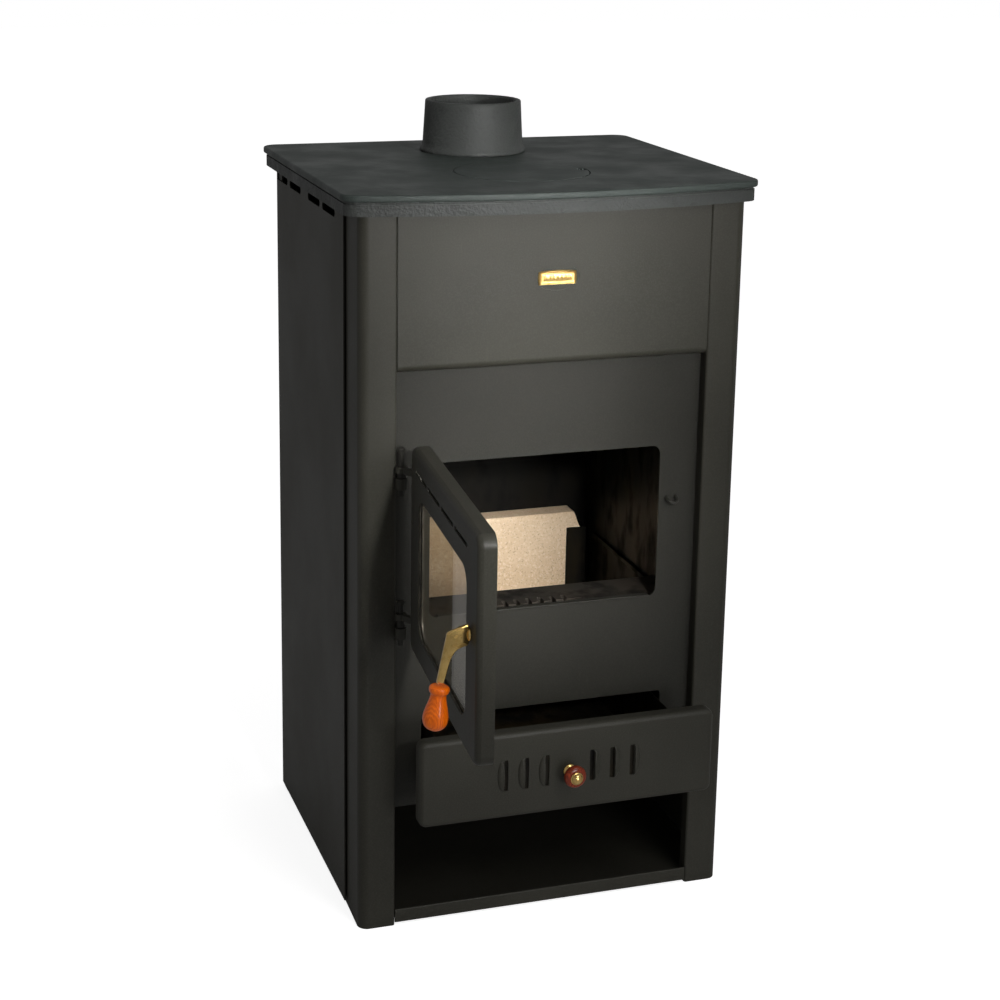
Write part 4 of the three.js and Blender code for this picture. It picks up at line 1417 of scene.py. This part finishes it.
@dataclass
class FireDoor(Builder):
    """The glazed door with its handle; sizes on the shut door run from the hinge axis, y inwards."""

    face: float = 5.5 * MM
    spindle_x: float = 322.0 * MM
    spindle_z: float = 496.0 * MM
    blade: float = 5.0 * MM
    grip_drop: float = 50.8 * MM
    grip_out: float = 30.0 * MM
    grip_tilt: float = math.radians(7)
    screw_face: float = 17.3 * MM

    def __post_init__(self) -> None:
        """Finds where the open door stands."""
        joints = self.frame["record"]["behaviour"]["joints"]
        swing = next(joint for joint in joints if joint["name"] == "door_swing")
        pin = Vector((swing["pos_m"][0], swing["pos_m"][1], 0.0))
        self.turn = math.radians(swing["range_deg"][1])
        self.place = Matrix.Translation(pin) @ Matrix.Rotation(-self.turn, 4, "Z")

    def build(self, screws: bpy.types.NodeTree) -> None:
        """Dresses the door and makes its handle.

        Args:
            screws: the screw tree.
        """
        self.cover(Finish.CASING, 0.0, "door_pan")
        self.cover(Finish.CASING, 0.3, "door_hinge_lug_upper", "door_hinge_lug_lower")
        self.cover(Finish.IRON, 0.3, "glass_retainer", "latch_tongue")
        self.cover(Finish.IRON, 0.0, "handle_spindle")
        self.cover(Finish.SEAL, 0.0, "glass_seal")
        self.cover(Finish.GLASS, 0.3, "door_glass")
        self._retainer_screws(screws)
        self._lever()
        self._grip()

    def _retainer_screws(self, screws: bpy.types.NodeTree) -> None:
        """Sets the glass retainer's screws where the CAD ones are.

        Args:
            screws: the screw tree.
        """
        nodes = [f"retainer_screw_{i}" for i in range(1, 5)]
        inverse = self.place.inverted()
        places = []
        for node in nodes:
            low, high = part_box(node)
            local = inverse @ ((Vector(low) + Vector(high)) / 2)
            local.y = self.screw_face - 2.4 * MM
            places.append(self.place @ local)
        turn = (-math.pi / 2, 0.0, -self.turn)
        made = ScrewSet("retainer_screws", places, turn, radius=3.4 * MM, height=2.2 * MM)
        self.stand_in(made.build(screws, self.palette[Finish.IRON]), *nodes)

    def _lever(self) -> None:
        """Makes the brass lever: a curved blade with soft edges on a turned hub."""
        outline = curve_points(
            [
                (0.9, 11.2),
                (7.0, 9.8),
                (20.5, 4.6),
                (23.6, 2.4),
                (24.6, -3.0),
                (33.2, -46.0),
                (33.5, -49.0),
                (26.6, -49.0),
                (25.2, -44.0),
                (20.0, -24.0),
                (15.6, -16.5),
                (10.5, -12.6),
                (1.0, -10.2),
            ],
            2,
        )
        local = [Vector((self.face - p.x * MM, self.spindle_z + p.y * MM)) for p in outline]
        blade = slab("handle_blade", local, self.blade, 0.9 * MM)
        blade.transform(Matrix.Translation((self.spindle_x, 0, 0)))
        hub = lathe(
            "handle_hub",
            rounded(
                [
                    (0.0, 0.5 * MM),
                    (6.3 * MM, 0.5 * MM),
                    (6.5 * MM, 1.0 * MM),
                    (6.3 * MM, 2.2 * MM),
                    (5.2 * MM, 3.3 * MM),
                    (3.0 * MM, 3.5 * MM),
                    (0.0, 3.5 * MM),
                ],
                2,
            ),
            48,
        )
        seat = Matrix.Translation((self.spindle_x, self.face, self.spindle_z))
        hub.transform(seat @ Matrix.Rotation(math.pi / 2, 4, "X"))
        shape = bmesh.new()
        shape.from_mesh(blade)
        shape.from_mesh(hub)
        mesh = bpy.data.meshes.new("handle_lever_casting")
        shape.to_mesh(mesh)
        shape.free()
        mesh.transform(self.place)
        shade_smooth(mesh, 42.0)
        piece = mesh_object("handle_lever_casting", mesh, self.palette[Finish.BRASS])
        self.stand_in(piece, "handle_lever")

    def _grip(self) -> None:
        """Turns the pear-shaped wooden grip with its bead next to the lever."""
        profile = [
            (0.0, -46.9),
            (4.6, -46.5),
            (8.8, -44.4),
            (11.8, -40.4),
            (12.9, -35.4),
            (12.7, -30.8),
            (11.3, -24.4),
            (9.2, -17.6),
            (8.1, -12.6),
            (7.9, -9.6),
            (8.5, -8.2),
            (9.9, -6.6),
            (10.4, -4.2),
            (10.1, -1.8),
            (8.2, -0.4),
            (5.6, -0.1),
            (0.0, -0.1),
        ]
        metres = [(radius * MM, height * MM) for radius, height in profile]
        mesh = lathe("handle_grip_turning", rounded(metres, 2), 72)
        seat = Matrix.Translation(
            (self.spindle_x, self.face - self.grip_out, self.spindle_z - self.grip_drop)
        )
        mesh.transform(self.place @ seat @ Matrix.Rotation(-self.grip_tilt, 4, "X"))
        shade_smooth(mesh, 60.0)
        piece = mesh_object("handle_grip_turning", mesh, self.palette[Finish.GRIP])
        self.stand_in(piece, "handle_grip")


# ------------------------------------------------------------------ studio
@dataclass
class SoftBox:
    """One square light with a louvred front that narrows its beam."""

    name: str
    place: tuple[float, float, float]
    aim: tuple[float, float, float]
    size: float
    power: float
    beam_deg: float

    def build(self) -> None:
        """Hangs the light and points it."""
        lamp = bpy.data.lights.new(self.name, "AREA")
        lamp.shape = "SQUARE"
        lamp.size = self.size
        lamp.energy = self.power
        lamp.spread = math.radians(self.beam_deg)
        aim = Vector(self.aim)
        stand = bpy.data.objects.new(self.name, lamp)
        stand.location = self.place
        stand.rotation_euler = (aim - stand.location).to_track_quat("-Z", "Y").to_euler()
        bpy.context.scene.collection.objects.link(stand)


@dataclass
class Studio:
    """Floor, light and camera round the stove."""

    sky: float = 0.3
    backdrop: float = 1.0
    floor_half: float = 14.0
    eye: tuple[float, float, float] = (-0.76755, -2.09099, 1.21275)
    forward: tuple[float, float, float] = (0.29443, 0.92494, -0.24042)
    roll: float = math.radians(0.698)
    lens: float = 71.66
    shift: tuple[float, float] = (0.0406, -0.132)
    lights: tuple[SoftBox, ...] = (
        SoftBox("key", (0.45, -1.5, 1.85), (0.0, -0.1, 0.8), 1.0, 6.0, 120.0),
        SoftBox("brow light", (0.2, -1.7, 1.05), (-0.01, -0.05, 0.82), 0.3, 0.9, 21.0),
        SoftBox("mouth light", (-0.1, -2.0, 1.3), (-0.04, 0.31, 0.33), 0.14, 0.6, 14.5),
        SoftBox("low fill", (0.3, -1.6, 0.35), (0.0, -0.05, 0.1), 0.5, 0.4, 36.0),
    )

    def build(self, palette: Palette) -> None:
        """Builds the studio.

        Args:
            palette: the finishes.
        """
        self._floor(palette)
        self._sky()
        for light in self.lights:
            light.build()
        self._camera()

    def _floor(self, palette: Palette) -> None:
        """Lays the pale floor."""
        half = self.floor_half
        mesh = bpy.data.meshes.new("studio_floor")
        corners = [(-half, -half, 0), (half, -half, 0), (half, half, 0), (-half, half, 0)]
        mesh.from_pydata(corners, [], [(0, 1, 2, 3)])
        mesh_object("studio_floor", mesh, palette[Finish.FLOOR])

    def _sky(self) -> None:
        """Lights everything softly from all round, with a white backdrop behind it."""
        world = bpy.data.worlds.new("soft studio")
        world.use_nodes = True
        background = world.node_tree.nodes["Background"]
        bright = world.node_tree.nodes.new("ShaderNodeBackground")
        for node, strength in ((background, self.sky), (bright, self.backdrop)):
            node.inputs["Color"].default_value = (1.0, 1.0, 1.0, 1.0)
            node.inputs["Strength"].default_value = strength
        seen = world.node_tree.nodes.new("ShaderNodeLightPath")
        mix = world.node_tree.nodes.new("ShaderNodeMixShader")
        links = world.node_tree.links
        links.new(seen.outputs["Is Camera Ray"], mix.inputs[0])
        links.new(background.outputs[0], mix.inputs[1])
        links.new(bright.outputs[0], mix.inputs[2])
        links.new(mix.outputs[0], world.node_tree.nodes["World Output"].inputs[0])
        bpy.context.scene.world = world

    def _camera(self) -> None:
        """Sets the camera up."""
        forward = Vector(self.forward).normalized()
        right = forward.cross(Vector((0, 0, 1))).normalized()
        up = right.cross(forward)
        across = right * math.cos(self.roll) + up * math.sin(self.roll)
        upward = up * math.cos(self.roll) - right * math.sin(self.roll)
        turn = Matrix((across, upward, -forward)).transposed().to_4x4()
        lens = bpy.data.cameras.new("camera")
        lens.sensor_width = 36.0
        lens.lens = self.lens
        lens.shift_x, lens.shift_y = self.shift
        lens.clip_start = 0.05
        lens.clip_end = 100.0
        camera = bpy.data.objects.new("camera", lens)
        camera.matrix_world = Matrix.Translation(self.eye) @ turn
        bpy.context.scene.collection.objects.link(camera)
        bpy.context.scene.camera = camera
        bpy.context.scene.view_settings.view_transform = "Standard"


def main(frame: dict) -> None:
    """Dresses the stove and builds the studio.
    """
    palette = Palette()
    screws = ScrewTree().build(palette[Finish.IRON])
    Casing(frame, palette).build(screws)
    CookingTop(frame, palette).build()
    Firebox(frame, palette).build()
    AshDrawer(frame, palette).build()
    FireDoor(frame, palette).build(screws)
    Studio().build(palette)


if __name__ == "__main__":
    logging.basicConfig(level=logging.INFO, format="%(name)s: %(message)s")
    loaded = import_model()
    main(loaded)
